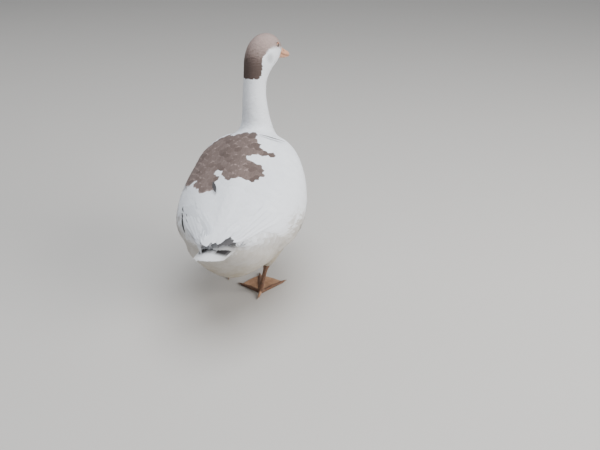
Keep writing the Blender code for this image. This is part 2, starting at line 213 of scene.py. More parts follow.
class Graph:
    """The nodes of one material."""

    def __init__(self, name: str) -> None:
        """Starts a material with this name and no nodes.

        Args:
            name: the material's name.
        """
        self.material = bpy.data.materials.new(name)
        self.material.use_nodes = True
        self.tree = self.material.node_tree
        self.tree.nodes.clear()

    def node(
        self, kind: str, settings: dict | None = None, inputs: dict | None = None, output: int | str = 0
    ) -> Wire:
        """Adds a node.

        Args:
            kind: the node's type.
            settings: its properties, which are set first.
            inputs: what its sockets hold, by name or number: a wire or a plain value.
            output: the output that is wanted.

        Returns:
            The wire from that output.
        """
        made = self.tree.nodes.new(kind)
        for name, value in (settings or {}).items():
            setattr(made, name, value)
        for name, value in (inputs or {}).items():
            if isinstance(value, Wire):
                self.tree.links.new(value.socket, made.inputs[name])
            elif value is not None:
                made.inputs[name].default_value = value
        return Wire(self, made.outputs[output] if len(made.outputs) else None)

    def attribute(self, name: str) -> Wire:
        """A number that the mesh holds at each point."""
        return self.node("ShaderNodeAttribute", {"attribute_name": name}, output="Fac")

    def mix(self, share: Wire | float, first: "Wire | tuple", second: "Wire | tuple") -> Wire:
        """The colour a share of the way from the first to the second.

        Args:
            share: how far towards the second.
            first: a colour.
            second: another.

        Returns:
            The colour.
        """
        first, second = (c if isinstance(c, Wire) else (*c, 1) for c in (first, second))
        return self.node(
            "ShaderNodeMix", {"data_type": "RGBA"}, {0: share, 6: first, 7: second}, output=2
        )

    def place(self) -> Wire:
        """The place on the object, in metres."""
        return self.node("ShaderNodeTexCoord", output="Object")

    def noise(self, scale: float, detail: float = 2.0, where: Wire | None = None) -> Wire:
        """A cloudy pattern from 0 to 1."""
        inputs = {"Vector": where or self.place(), "Scale": scale, "Detail": detail}
        return self.node("ShaderNodeTexNoise", None, inputs)

    def finish(
        self, colour: Wire, rough: Wire, relief: Wire, depth: float, **plain: float
    ) -> Material:
        """Closes the graph with a Principled shader.

        Args:
            colour: the base colour.
            rough: the roughness.
            relief: the height that the bump takes.
            depth: the height in metres of a relief of 1.
            plain: values that are the same all over, by socket name with _ for spaces.

        Returns:
            The material.
        """
        bump = self.node("ShaderNodeBump", None, {"Strength": 1.0, "Distance": depth, "Height": relief})
        inputs = {"Base Color": colour, "Roughness": rough, "Normal": bump}
        inputs.update({name.replace("_", " "): value for name, value in plain.items()})
        shader = self.node("ShaderNodeBsdfPrincipled", None, inputs)
        self.node("ShaderNodeOutputMaterial", None, {"Surface": shader})
        return self.material


# ---- finishes
@dataclass(frozen=True)
class PlumageFinish:
    """Feathers, and the skin under them. What each colour covers is held by the mesh."""

    name: str = "plumage"
    white: tuple = (0.85, 0.88, 0.93)
    shade: tuple = (0.60, 0.60, 0.63)
    # The cream of the underparts is partly their stain and partly painted shade under the body.
    cream: tuple = (0.37, 0.315, 0.230)
    brown: tuple = (0.070, 0.048, 0.041)
    pale_brown: tuple = (0.36, 0.275, 0.250)
    grey: tuple = (0.052, 0.049, 0.051)
    fringe: float = 0.50  # how far a coloured feather's edge goes towards its pale tone
    barbs: float = 130.0  # ridges that slant off the shaft
    relief: float = 0.00014

    def material(self) -> Material:
        """The shader graph.

        Returns:
            The material.
        """
        graph = Graph(self.name)
        along, across = graph.attribute("along"), graph.attribute("across")
        seed = graph.attribute("seed")
        past = along.step(0.55, 1.0)
        edge = (past * past + across * across).step(0.55, 1.15)
        shaft = 1 - abs(across).step(0.02, 0.10)
        barbs = (along * self.barbs + abs(across) * (self.barbs * 0.55)).sine() * 0.5 + 0.5
        cloud = graph.noise(38.0, 3.0)
        # the cream mixed in here is partly stain and partly painted shade
        white = graph.mix(graph.attribute("cream") * (0.75 + cloud * 0.5), self.white, self.cream)
        white = graph.mix(seed * 0.16 + barbs * 0.04 + cloud * 0.06, white, self.shade)
        pale = edge * self.fringe + graph.attribute("pale") + (seed - 0.5) * 0.22 + barbs * 0.08
        brown = graph.mix(pale, self.brown, self.pale_brown)
        brown = graph.mix(shaft * 0.30, brown, self.brown)
        grey = graph.mix(edge * 0.03 + barbs * 0.03, self.grey, self.shade)
        colour = graph.mix(graph.attribute("brown"), white, brown)
        colour = graph.mix(graph.attribute("grey"), colour, grey)
        relief = barbs * 0.35 + shaft * 0.5 + graph.noise(900.0, 1.0) * 0.4
        rough = 0.62 + cloud * 0.2
        return graph.finish(colour, rough, relief, self.relief, Specular_IOR_Level=0.3)


@dataclass(frozen=True)
class ScaleFinish:
    """The scaly skin of a goose's legs, with the webs paler than the toes, and painted shade that darkens
    the shank and toes.
    """

    name: str
    dark: tuple = (0.24, 0.080, 0.030)
    light: tuple = (0.62, 0.36, 0.21)
    # Dirt, and painted shade that darkens the shank and toes.
    dirt: tuple = (0.10, 0.055, 0.035)
    cells: float = 620.0
    relief: float = 0.0006

    def material(self) -> Material:
        """The shader graph.

        Returns:
            The material.
        """
        graph = Graph(self.name)
        where = graph.place()
        cell_inputs = {"Vector": where, "Scale": self.cells, "Randomness": 0.75}
        cells = graph.node(
            "ShaderNodeTexVoronoi", {"feature": "DISTANCE_TO_EDGE"}, cell_inputs, "Distance"
        )
        plates = cells.step(0.0, 0.28)
        cloud = graph.noise(60.0, 3.0)
        web = graph.attribute("web")
        colour = graph.mix(cloud.step(0.3, 0.7) * 0.45 + web * 0.5 + plates * 0.2, self.dark, self.light)
        grime_and_shade = graph.noise(140.0, 4.0).step(0.48, 0.75) * 0.5 + (1 - plates) * 0.35
        # Painted shade: the shank and toes away from the webs are darkened further.
        grime_and_shade = grime_and_shade * (1 - web * 0.5) + (1 - web) * 0.42
        colour = graph.mix(grime_and_shade, colour, self.dirt)
        return graph.finish(colour, 0.62 - plates * 0.16, plates, self.relief)


@dataclass(frozen=True)
class HornFinish:
    """Smooth horn of bill or claws. The mesh says where it is pale and where it is hollow, and the hollows
    take painted shade.
    """

    name: str
    base: tuple
    tip: tuple
    stain: tuple
    hollow_shade: tuple = (0.05, 0.022, 0.016)  # painted shade in the nostrils and between the teeth
    roughness: float = 0.38
    grain: float = 160.0
    relief: float = 0.0002

    def material(self) -> Material:
        """The shader graph.

        Returns:
            The material.
        """
        graph = Graph(self.name)
        cloud = graph.noise(self.grain, 4.0)
        fine = graph.noise(self.grain * 8, 2.0)
        colour = graph.mix(graph.attribute("tip"), self.base, self.tip)
        colour = graph.mix(cloud.step(0.45, 0.8) * 0.4, colour, self.stain)
        # Painted shade in the nostrils and along the mouth.
        colour = graph.mix(graph.attribute("hollow"), colour, self.hollow_shade)
        rough = self.roughness + cloud * 0.15
        return graph.finish(colour, rough, cloud * 0.6 + fine * 0.4, self.relief)


@dataclass(frozen=True)
class EyeFinish:
    """A wet brown-grey iris round a black pupil."""

    name: str = "goose_eye"
    iris: tuple = (0.10, 0.055, 0.03)
    rim: tuple = (0.02, 0.012, 0.01)
    pupil: tuple = (0.002, 0.002, 0.002)

    def material(self) -> Material:
        """The shader graph. The mesh says how far each point is from the middle of the iris.

        Returns:
            The material.
        """
        graph = Graph(self.name)
        off = graph.attribute("off")
        fibres = graph.noise(2600.0, 2.0)
        colour = graph.mix(fibres.step(0.3, 0.8) * 0.6, self.iris, self.rim)
        colour = graph.mix(off.step(0.62, 0.80), colour, self.rim)
        colour = graph.mix(1 - off.step(0.34, 0.38), colour, self.pupil)
        return graph.finish(
            colour, 0.05 + fibres * 0.02, fibres, 0.00002, Coat_Weight=1.0, Coat_Roughness=0.02
        )


@dataclass(frozen=True)
class LidFinish:
    """The bare, finely wrinkled skin of an eyelid."""

    name: str = "eyelid"
    skin: tuple = (0.52, 0.23, 0.12)
    fold: tuple = (0.26, 0.10, 0.06)

    def material(self) -> Material:
        """The shader graph.

        Returns:
            The material.
        """
        graph = Graph(self.name)
        wrinkles = graph.noise(1500.0, 3.0)
        colour = graph.mix(wrinkles.step(0.35, 0.7), self.fold, self.skin)
        return graph.finish(colour, 0.45 + wrinkles * 0.2, wrinkles, 0.0003)


# ---- meshes
def object_of(
    name: str, points: Array, faces: Array, material: Material,
    numbers: dict[str, Array] | None = None, uvs: Array | None = None,
) -> Piece:
    """A smooth-shaded mesh object.

    Args:
        name: the object's name.
        points: one row for each vertex.
        faces: one row of vertex numbers for each face, all with as many corners.
        material: its finish.
        numbers: for the shader, one number for each vertex, by attribute name.
        uvs: the place of each vertex on the UV map.

    Returns:
        The object, linked to the scene.
    """
    mesh = bpy.data.meshes.new(name)
    count, corners = faces.shape
    mesh.vertices.add(len(points))
    mesh.vertices.foreach_set("co", np.ascontiguousarray(points, np.float32).ravel())
    mesh.loops.add(count * corners)
    mesh.loops.foreach_set("vertex_index", np.ascontiguousarray(faces, np.int32).ravel())
    mesh.polygons.add(count)
    mesh.polygons.foreach_set("loop_start", np.arange(0, count * corners, corners, dtype=np.int32))
    mesh.update(calc_edges=True)
    mesh.polygons.foreach_set("use_smooth", np.ones(count, bool))
    for key, values in (numbers or {}).items():
        layer = mesh.attributes.new(key, "FLOAT", "POINT")
        layer.data.foreach_set("value", np.ascontiguousarray(values, np.float32).ravel())
    if uvs is not None:
        layer = mesh.uv_layers.new(name=MAP_NAME)
        flat = uvs[faces.ravel()] if len(uvs) == len(points) else uvs
        layer.data.foreach_set("uv", np.ascontiguousarray(flat, np.float32).ravel())
    mesh.materials.append(material)
    mesh.validate()
    made = bpy.data.objects.new(name, mesh)
    bpy.context.scene.collection.objects.link(made)
    return made


def grid_faces(count: int, rows: int, columns: int, closed: bool = False) -> Array:
    """The quads of so many grids of points, each of rows by columns.

    Args:
        count: how many grids there are.
        rows: the rows of each.
        columns: the points of each row.
        closed: whether each row's last point joins its first.

    Returns:
        One row of four vertex numbers for each quad.
    """
    across = columns if closed else columns - 1
    row, column = np.meshgrid(np.arange(rows - 1), np.arange(across), indexing="ij")
    following = (column + 1) % columns
    quads = np.stack([
        row * columns + column,
        row * columns + following,
        (row + 1) * columns + following,
        (row + 1) * columns + column,
    ], -1).reshape(-1, 4)
    starts = np.arange(count) * rows * columns
    return (starts[:, None, None] + quads[None]).reshape(-1, 4)


def remeshed(
    name: str, sources: list[Piece], voxel: float, pads: Sequence[Array] = ()
) -> tuple[Array, Array]:
    """One closed surface round several solids.

    Args:
        name: a name for the mesh while it is made.
        sources: the objects, whose meshes are only read.
        voxel: the size of its cells, which closes narrower gaps.
        pads: sets of places, whose hulls the surface goes round as well.

    Returns:
        The surface's points and triangles.
    """
    bm = bmesh.new()
    for source in sources:
        bm.from_mesh(source.data)
    bmesh.ops.remove_doubles(bm, verts=bm.verts, dist=1e-5)
    for pad in pads:
        corners = [bm.verts.new(place) for place in pad]
        found = bmesh.ops.convex_hull(bm, input=corners)
        spare = {vertex for vertex in found["geom_interior"] if isinstance(vertex, bmesh.types.BMVert)}
        bmesh.ops.delete(bm, geom=list(spare), context="VERTS")
    mesh = bpy.data.meshes.new(name)
    bm.to_mesh(mesh)
    bm.free()
    made = bpy.data.objects.new(name, mesh)
    bpy.context.scene.collection.objects.link(made)
    modifier = made.modifiers.new("one_surface", "REMESH")
    modifier.mode = "VOXEL"
    modifier.voxel_size = voxel
    evaluated = made.evaluated_get(bpy.context.evaluated_depsgraph_get())
    bm = bmesh.new()
    bm.from_mesh(evaluated.to_mesh())
    bmesh.ops.triangulate(bm, faces=bm.faces)
    points = np.array([vertex.co for vertex in bm.verts])
    triangles = np.array([[vertex.index for vertex in face.verts] for face in bm.faces])
    bm.free()
    bpy.data.objects.remove(made)
    return points, triangles


@dataclass
class Surface:
    """A closed surface of triangles, and the sums over it that its users need."""

    points: Array
    triangles: Array
    edges: Array = field(init=False)

    def __post_init__(self) -> None:
        """Finds the edges."""
        pairs = np.concatenate([self.triangles[:, [a, b]] for a, b in ((0, 1), (1, 2), (2, 0))])
        self.edges = np.unique(np.sort(pairs, axis=1), axis=0)

    def spread(self, values: Array, rounds: int, keep: float = 0.5) -> Array:
        """Blends each vertex's values with its neighbours' so many times.

        Args:
            values: a row for each vertex.
            rounds: how many times.
            keep: the share of a vertex's own values that stays.

        Returns:
            The blended values.
        """
        first, second = self.edges.T
        count = len(self.points)
        number = np.bincount(first, minlength=count) + np.bincount(second, minlength=count)
        for _ in range(rounds):
            total = np.stack([
                np.bincount(first, column[second], count) + np.bincount(second, column[first], count)
                for column in values.T
            ], -1)
            values = keep * values + (1 - keep) * total / number[:, None]
        return values

    def squares(self) -> Array:
        """For each triangle, the vector square to it that is twice as long as its area."""
        a, b, c = (self.points[self.triangles[:, i]] for i in range(3))
        return np.cross(b - a, c - a)

    def corner_normals(self) -> Array:
        """The unit normal at each vertex.

        Returns:
            One row for each vertex.
        """
        total = np.stack([
            sum(np.bincount(self.triangles[:, i], column, len(self.points)) for i in range(3))
            for column in self.squares().T
        ], -1)
        return unit(total)

    def areas(self) -> Array:
        """The area of each triangle."""
        return np.linalg.norm(self.squares(), axis=1) / 2


# ---- the head's own frame
@dataclass
class HeadFrame:
    """Where the head is and how it is turned, from the two eyes."""

    middle: Array
    left: Array
    forward: Array

    @classmethod
    def of(cls, nodes: Nodes) -> "HeadFrame":
        """Reads the frame of the head off the eyes' nodes.

        Args:
            nodes: the frame's nodes.

        Returns:
            The frame of the head.
        """
        left, right = (vertices_of(nodes[f"eye_{side.word}"]).mean(0) for side in Side)
        across = unit(left - right)
        return cls((left + right) / 2, across, np.cross(across, UP))

    def local(self, places: Array) -> Array:
        """The places as distances to the left, forward and up from between the eyes."""
        away = places - self.middle
        return np.stack([away @ self.left, away @ self.forward, away @ UP], -1)


# ---- guide lines of the coat
@dataclass
class Guides:
    """Lines inside the body that the coat runs along, from bill to tail and down each thigh.

    Each point of a line has the coat's way there, the length of its feathers and its depth.
    """

    nodes: Nodes
    steps: int = 14
    places: Array = field(init=False)
    ways: Array = field(init=False)
    lengths: Array = field(init=False)
    depths: Array = field(init=False)
    reaches: Array = field(init=False)

    # Feather length and coat depth at the bill's root, the nape, the neck's middle and root,
    # the shoulders, the loins and the tail, and how far along the line each of these lies.
    BODY_LENGTHS = (0.0030, 0.0062, 0.0090, 0.0150, 0.0240, 0.0280, 0.0260)
    BODY_DEPTHS = (0.0012, 0.0020, 0.0032, 0.0050, 0.0064, 0.0064, 0.0050)
    BODY_REACHES = (0.0, 0.10, 0.18, 0.27, 0.36, 0.52, 0.68)

    def __post_init__(self) -> None:
        """Lays out the lines."""
        body = [slice_centre(self.nodes["head"], 1, share) for share in (0.04, 0.3, 0.6)]
        body += [slice_centre(self.nodes["neck_upper"], 2, share) for share in (0.9, 0.5, 0.1)]
        body += [slice_centre(self.nodes["neck_lower"], 2, share) for share in (0.6, 0.2)]
        body += [slice_centre(self.nodes["trunk"], 1, share) for share in (0.25, 0.5, 0.8, 1.0)]
        lines = [self.line(np.array(body), self.BODY_REACHES, self.BODY_LENGTHS, self.BODY_DEPTHS)]
        for side in Side:
            thigh = self.nodes[f"thigh_{side.word}"]
            points = np.array([slice_centre(thigh, 2, share, 0.1) for share in (0.6, 0.3, 0.0)])
            lines.append(self.line(points, (0, 0.10), (0.020, 0.007), (0.0050, 0.0012)))
        self.places, self.ways, self.lengths, self.depths, self.reaches = (
            np.concatenate(part) for part in zip(*lines)
        )

    def line(self, points: Array, reaches: tuple, lengths: tuple, depths: tuple) -> tuple:
        """Fills in one line between its points.

        Args:
            points: places along it.
            reaches: distances along it at which the next two are given.
            lengths: the feathers' lengths there.
            depths: the coat's depths there.

        Returns:
            Its places, ways, feather lengths, coat depths and distances from its start.
        """
        spans = np.linalg.norm(np.diff(points, axis=0), axis=1)
        at = np.concatenate([[0], np.cumsum(spans)])
        reach = np.linspace(0, at[-1], self.steps * (len(points) - 1))
        places = np.stack([np.interp(reach, at, column) for column in points.T], -1)
        for _ in range(self.steps * 2):
            places[1:-1] = (places[:-2] + 2 * places[1:-1] + places[2:]) / 4
        ways = unit(np.gradient(places, axis=0))
        length, depth = (np.interp(reach, reaches, values) for values in (lengths, depths))
        return places, ways, length, depth, reach

    def nearest(self, places: Array) -> Array:
        """For each place, the number of the nearest point on a line.

        Args:
            places: one row each.

        Returns:
            The numbers.
        """
        found = []
        for chunk in np.array_split(places, max(1, len(places) // 4000)):
            away = ((chunk[:, None] - self.places[None]) ** 2).sum(-1)
            found.append(away.argmin(1))
        return np.concatenate(found)


# ---- markings
@dataclass(frozen=True)
class Lobe:
    """An oval on the trunk: angles are degrees from straight up, towards the goose's left."""

    turn: float
    back: float  # y of its middle
    half_turn: float
    half_back: float

    def holds(self, turn: Array, back: Array) -> Array:
        """Whether places lie in the oval."""
        u, v = (turn - self.turn) / self.half_turn, (back - self.back) / self.half_back
        return u * u + v * v < 1


@dataclass
class Markings:
    """What colour the plumage has at a place, painted shade and light included: the same for the skin and
    for the feathers.
    """

    head: HeadFrame
    guides: Guides
    saddle: tuple = (
        Lobe(19, -0.020, 30, 0.078),
        Lobe(-9, 0.055, 20, 0.037),
        Lobe(2, 0.062, 11, 0.029),
        Lobe(-18, -0.0165, 10.5, 0.0125),
        Lobe(36, 0.079, 13.5, 0.036),
        Lobe(52, 0.000, 17, 0.070),
        Lobe(-8, -0.074, 8, 0.008),
    )
    notches: tuple = (Lobe(-20, 0.004, 7, 0.010), Lobe(18, 0.080, 4, 0.022))
    nape_end: float = 0.460  # height at which the cap ends on the nape
    cap_reaches: tuple = (0.0, 0.030, 0.052, 0.072, 0.090, 0.105, 0.122, 0.150)
    cap_angles: tuple = (84.0, 80.0, 68.0, 47.0, 38.0, 45.0, 62.0, 66.0)  # degrees from the crown
    cap_blur: float = 9.0  # degrees over which the cap fades out on the face
    ear: tuple = (0.031, -0.040, -0.021)  # outwards, forward and up from between the eyes
    ear_size: float = 0.008
    # The cream below this edge is partly the underparts' stain and partly painted shade on the underside.
    belly_edge: float = 0.228  # height on the breast at which the cream begins
    flank_rise: float = 0.010  # how much higher it does on the hind flanks
    flank: tuple = (-0.06, 0.08)  # y between which breast turns to hind flank
    blend: tuple = (0.110, 0.075)  # height over which it comes in, and how much less that is behind
    lowest_shade: tuple = (0.200, 0.120)  # heights between which it gets stronger once more, as painted shade under the belly
    creams: tuple = (0.08, 0.62, 0.28)  # its strength over all, under the edge and lowest of all
    neck_cream: float = 0.10
    soft_reach: tuple = (0.090, 0.050)  # distances from the bill over which the cap's edge softens
    pale_reach: tuple = (0.125, 0.050)  # and over which the cap gets paler

    def numbers(self, places: Array) -> dict[str, Array]:
        """The markings, with painted shade and light, as numbers from 0 to 1 for the shader, by attribute
        name.

        Args:
            places: one row each.

        Returns:
            The numbers for every attribute.
        """
        turn = np.degrees(np.arctan2(places[:, 0], places[:, 2] - SPINE_UP))
        on_trunk = places[:, 2] < TRUNK_TOP
        brown = np.zeros(len(places), bool)
        for lobe in self.saddle:
            brown |= lobe.holds(turn, places[:, 1])
        for lobe in self.notches:
            brown &= ~lobe.holds(turn, places[:, 1])
        cap, crown = self.cap(places)
        hind = ease(*self.flank, places[:, 1])
        edge = self.belly_edge + self.flank_rise * hind
        depth = self.blend[0] - self.blend[1] * hind
        everywhere, below, lowest_shade = self.creams
        under = everywhere + below * ease(edge, edge - depth, places[:, 2])
        # Painted shade: the cream deepens once more low under the belly.
        under = under + lowest_shade * ease(*self.lowest_shade, places[:, 2])
        ear = self.ear_spot(places)
        return {
            "brown": np.where(on_trunk, brown, cap),
            "grey": 0.35 * ear * (1 - cap),
            "cream": np.where(on_trunk, under, self.neck_cream),
            # Painted light: the trunk's brown is paler towards the goose's left and darker towards its
            # right, as the light falls.
            "pale": np.where(on_trunk, 0.17 + 0.07 * np.clip(turn / 30, -1, 1), crown),
        }

    def cap(self, places: Array) -> tuple[Array, Array]:
        """How far places lie in the brown cap, and how pale the crown and the face make them.

        Args:
            places: one row each.

        Returns:
            The cap, from 0 to 1, and the paleness.
        """
        nearest = self.guides.nearest(places)
        away = places - self.guides.places[nearest]
        reach = self.guides.reaches[nearest]
        dorsal = unit(np.cross(self.head.left, self.guides.ways[nearest]))
        angle = np.degrees(np.arctan2(np.abs(away @ self.head.left), dot(away, dorsal)))
        edge = np.interp(reach, self.cap_reaches, self.cap_angles)
        blur = self.cap_blur * ease(*self.soft_reach, reach) + 0.1
        cap = ease(edge + blur, edge - blur, angle) * (places[:, 2] > self.nape_end)
        return cap, 1.20 * ease(*self.pale_reach, reach) - 0.35

    def ear_spot(self, places: Array) -> Array:
        """How strongly the grey smudge over the ear shows, from 0 to 1.

        Args:
            places: one row each.

        Returns:
            The strengths.
        """
        local = self.head.local(places)
        local[:, 0] = np.abs(local[:, 0])
        away = np.linalg.norm(local - np.array(self.ear), axis=1)
        return ease(2 * self.ear_size, 0.4 * self.ear_size, away)


# ---- the skin
@dataclass
class Hide:
    """The one skin, and what feathers need to know of it at any place."""

    nodes: Nodes
    guides: Guides
    head: HeadFrame
    voxel: float = 0.0036
    smoothing: int = 6
    combing: int = 14
    filling: int = 70
    pad_top: float = 0.322  # height on the neck up to which the hollow behind it is filled
    pad_reach: float = 0.045
    filled_from: tuple = (0.10, 0.14)  # heights over which the filling of creases comes in
    filled_to: tuple = (0.40, 0.34)  # and over which it goes out
    renewing: int = 10  # rounds of filling between two readings of the normals
    lean: tuple = (0.0, 0.25, -0.10)  # how far the coat of the trunk leans back and down
    inset: float = 0.001  # how far under the skin the measuring of its thickness starts
    widest: float = 0.2  # the thickness where nothing is met
    thin: float = 0.28  # most of a thin place that the coat's depth takes up
    surface: Surface = field(init=False)
    normals: Array = field(init=False)
    flow: Array = field(init=False)
    sizes: Array = field(init=False)  # feather length, coat depth and reach at each vertex
    uvs: Array = field(init=False)
    tree: BVHTree = field(init=False)

    def build(self, finish: Material, markings: Markings) -> Piece:
        """Makes the skin from the solids of flesh.

        Args:
            finish: its material.
            markings: its colours.

        Returns:
            The skin.
        """
        sources = [self.nodes[name] for name in (*FLESH, "eye_left", "eye_right")]
        self.surface = Surface(*remeshed("hide", sources, self.voxel, self.pads()))
        self.surface.points = self.surface.spread(self.surface.points, self.smoothing)
        self.fill()
        nearest = self.guides.nearest(self.surface.points)
        sizes = np.stack([
            self.guides.lengths[nearest], self.guides.depths[nearest], self.guides.reaches[nearest]
        ], -1)
        self.sizes = self.surface.spread(sizes, self.combing)
        normals = self.surface.corner_normals()
        depth = np.minimum(self.sizes[:, 1], self.thickness(normals) * self.thin)
        self.sizes[:, 1] = depth
        self.surface.points = self.surface.points - normals * depth[:, None]
        self.normals = self.surface.corner_normals()
        self.comb(self.guides.ways[nearest])
        self.tree = self.tree_of()
        skin = object_of(
            "skin", self.surface.points, self.surface.triangles, finish,
            self.skin_numbers(markings),
        )
        self.unwrap(skin)
        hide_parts(*FLESH)
        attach(skin, "root")
        return skin

    def pads(self) -> list[Array]:
        """Where the plumage fills the hollows between the neck's root, the mantle and the wings.

        Returns:
            The sets of places.
        """
        neck = vertices_of(self.nodes["neck_lower"])
        neck = neck[neck[:, 2] < self.pad_top]
        mantle = vertices_of(self.nodes["mantle"])
        found = [np.concatenate([neck, mantle[mantle[:, 1] < mantle[:, 1].min() + self.pad_reach]])]
        for side in Side:
            wing = vertices_of(self.nodes[f"wing_{side.word}"])
            front = wing[wing[:, 1] < wing[:, 1].min() + self.pad_reach]
            found.append(np.concatenate([neck[neck[:, 0] * side.value > 0], front]))
        return found

    def fill(self) -> None:
        """Fills the creases between neck, mantle, wings and flanks, as plumage does."""
        surface = self.surface
        height = surface.points[:, 2]
        share = ease(*self.filled_from, height) * ease(*self.filled_to, height)
        for number in range(self.filling):
            if number % self.renewing == 0:
                normals = surface.corner_normals()
            rise = dot(surface.spread(surface.points, 1) - surface.points, normals)
            surface.points = surface.points + normals * (np.maximum(rise, 0) * share)[:, None]

    def skin_numbers(self, markings: Markings) -> dict[str, Array]:
        """The attributes of the skin, which has no vanes of its own.

        Args:
            markings: its colours.

        Returns:
            The numbers for every attribute.
        """
        numbers = markings.numbers(self.surface.points)
        none = np.zeros(len(self.surface.points))
        return {**numbers, "along": none + 0.4, "across": none + 0.4, "seed": none + 0.5}

    def tree_of(self) -> BVHTree:
        """A search tree over the surface as it is now."""
        return BVHTree.FromPolygons(self.surface.points.tolist(), self.surface.triangles.tolist())

    def thickness(self, normals: Array) -> Array:
        """How far it is from each vertex through the body to the other side.

        Args:
            normals: the vertices' normals.

        Returns:
            One distance for each vertex.
        """
        tree = self.tree_of()
        found = []
        for point, normal in zip(self.surface.points, normals):
            start = Vector(point - normal * self.inset)
            away = tree.ray_cast(start, Vector(-normal))[3]
            found.append(self.widest if away is None else away)
        return self.surface.spread(np.array(found)[:, None], 3)[:, 0]

    def comb(self, ways: Array) -> None:
        """Lays the coat's way into the surface and smooths it.

        Args:
            ways: the guides' ways at the vertices.
        """
        trunk = ease(TRUNK_TOP, 0.30, self.surface.points[:, 2:3])
        tilted = ways + np.array(self.lean) * trunk
        flow = in_plane(tilted, self.normals)
        for _ in range(self.combing):
            flow = in_plane(self.surface.spread(flow, 1), self.normals)
        self.flow = flow

    def unwrap(self, skin: Piece) -> None:
        """Unwraps the skin, and keeps the places of its corners on the map.

        Args:
            skin: the skin.
        """
        bpy.context.view_layer.objects.active = skin
        skin.select_set(True)
        skin.data.uv_layers.new(name=MAP_NAME)
        bpy.ops.object.mode_set(mode="EDIT")
        bpy.ops.mesh.select_all(action="SELECT")
        bpy.ops.uv.smart_project(angle_limit=math.radians(66), island_margin=0.004)
        bpy.ops.object.mode_set(mode="OBJECT")
        skin.select_set(False)
        flat = np.empty(len(skin.data.loops) * 2)
        skin.data.uv_layers[MAP_NAME].data.foreach_get("uv", flat)
        self.uvs = flat.reshape(-1, 3, 2)

    def weights(self, places: Array, faces: Array) -> Array:
        """How much each corner of its triangle counts at each place.

        Args:
            places: one row each.
            faces: the triangle of each.

        Returns:
            Three shares for each place.
        """
        a, b, c = (self.surface.points[self.surface.triangles[faces, i]] for i in range(3))
        whole = np.cross(b - a, c - a)
        square = np.maximum(dot(whole, whole), 1e-20)
        first = dot(np.cross(c - b, places - b), whole) / square
        second = dot(np.cross(a - c, places - c), whole) / square
        found = np.clip(np.stack([first, second, 1 - first - second], -1), 0, 1)
        return found / found.sum(-1, keepdims=True)

    def read(self, values: Array, faces: Array, weights: Array) -> Array:
        """The values of the vertices, blended over the triangles."""
        return (values[self.surface.triangles[faces]] * weights[..., None]).sum(1)

    def nearest(self, places: Array) -> tuple[Array, Array, Array, Array]:
        """The nearest places on the skin, with their normals, ways and triangles.

        Args:
            places: one row each.

        Returns:
            The places, normals, ways and triangles.
        """
        found, faces = np.empty_like(places), np.empty(len(places), int)
        for i, place in enumerate(places):
            co, _, face, _ = self.tree.find_nearest(Vector(place))
            found[i], faces[i] = co, face
        weights = self.weights(found, faces)
        normals = unit(self.read(self.normals, faces, weights))
        return found, normals, self.read(self.flow, faces, weights), faces

    def patch(self, places: Array) -> Array:
        """Where the places lie on the skin's map.

        Args:
            places: one row each.

        Returns:
            The places on the map.
        """
        found, _, _, faces = self.nearest(places)
        weights = self.weights(found, faces)
        return (self.uvs[faces] * weights[..., None]).sum(1)


# ---- feathers
@dataclass(frozen=True)
class Vane:
    """The form of one kind of feather, in shares of its length, width or coat depth."""

    rows: int = 6
    columns: int = 5
    base: float = 0.35  # width at the root
    shoulder: float = 0.45  # where it reaches its full width
    rounding: float = 0.60  # where its tip begins to round off
    low: float = 0.20  # height of its root over the skin
    high: float = 1.00  # height of its tip
    tuck: float = 0.12  # what the very tip dips
    camber: float = 0.22  # drop of its edges
    roll: float = 0.0  # rise towards the side that is lower on the body
    ragged: float = 0.06  # unevenness of its edges
    dark_from: float = -1.0  # where along it a grey mark starts
    dark_to: float = 2.0  # and where it ends

    def band(self) -> Array:
        """How strongly a grey mark shows at each row.

        Returns:
            One strength for each row.
        """
        t, soft = self.shares, 0.05
        start = ease(self.dark_from - soft, self.dark_from + soft, t)
        return start * (1 - ease(self.dark_to - soft, self.dark_to + soft, t))

    @property
    def shares(self) -> Array:
        """The rows' places along the feather, closer together near the tip."""
        return 1 - (1 - np.linspace(0, 1, self.rows)) ** 1.5

    def widths(self) -> Array:
        """The width at each row.

        Returns:
            One width for each row, as a share.
        """
        t = self.shares
        body = self.base + (1 - self.base) * ease(0, self.shoulder, t)
        past = np.clip((t - self.rounding) / (1 - self.rounding), 0, 1)
        return body * np.maximum(np.sqrt(np.maximum(1 - past**2, 0)), 0.16)

    def heights(self) -> Array:
        """The height over the skin at each row."""
        t = self.shares
        return self.low + (self.high - self.low) * np.sin(t * math.pi / 2) - self.tuck * t**6


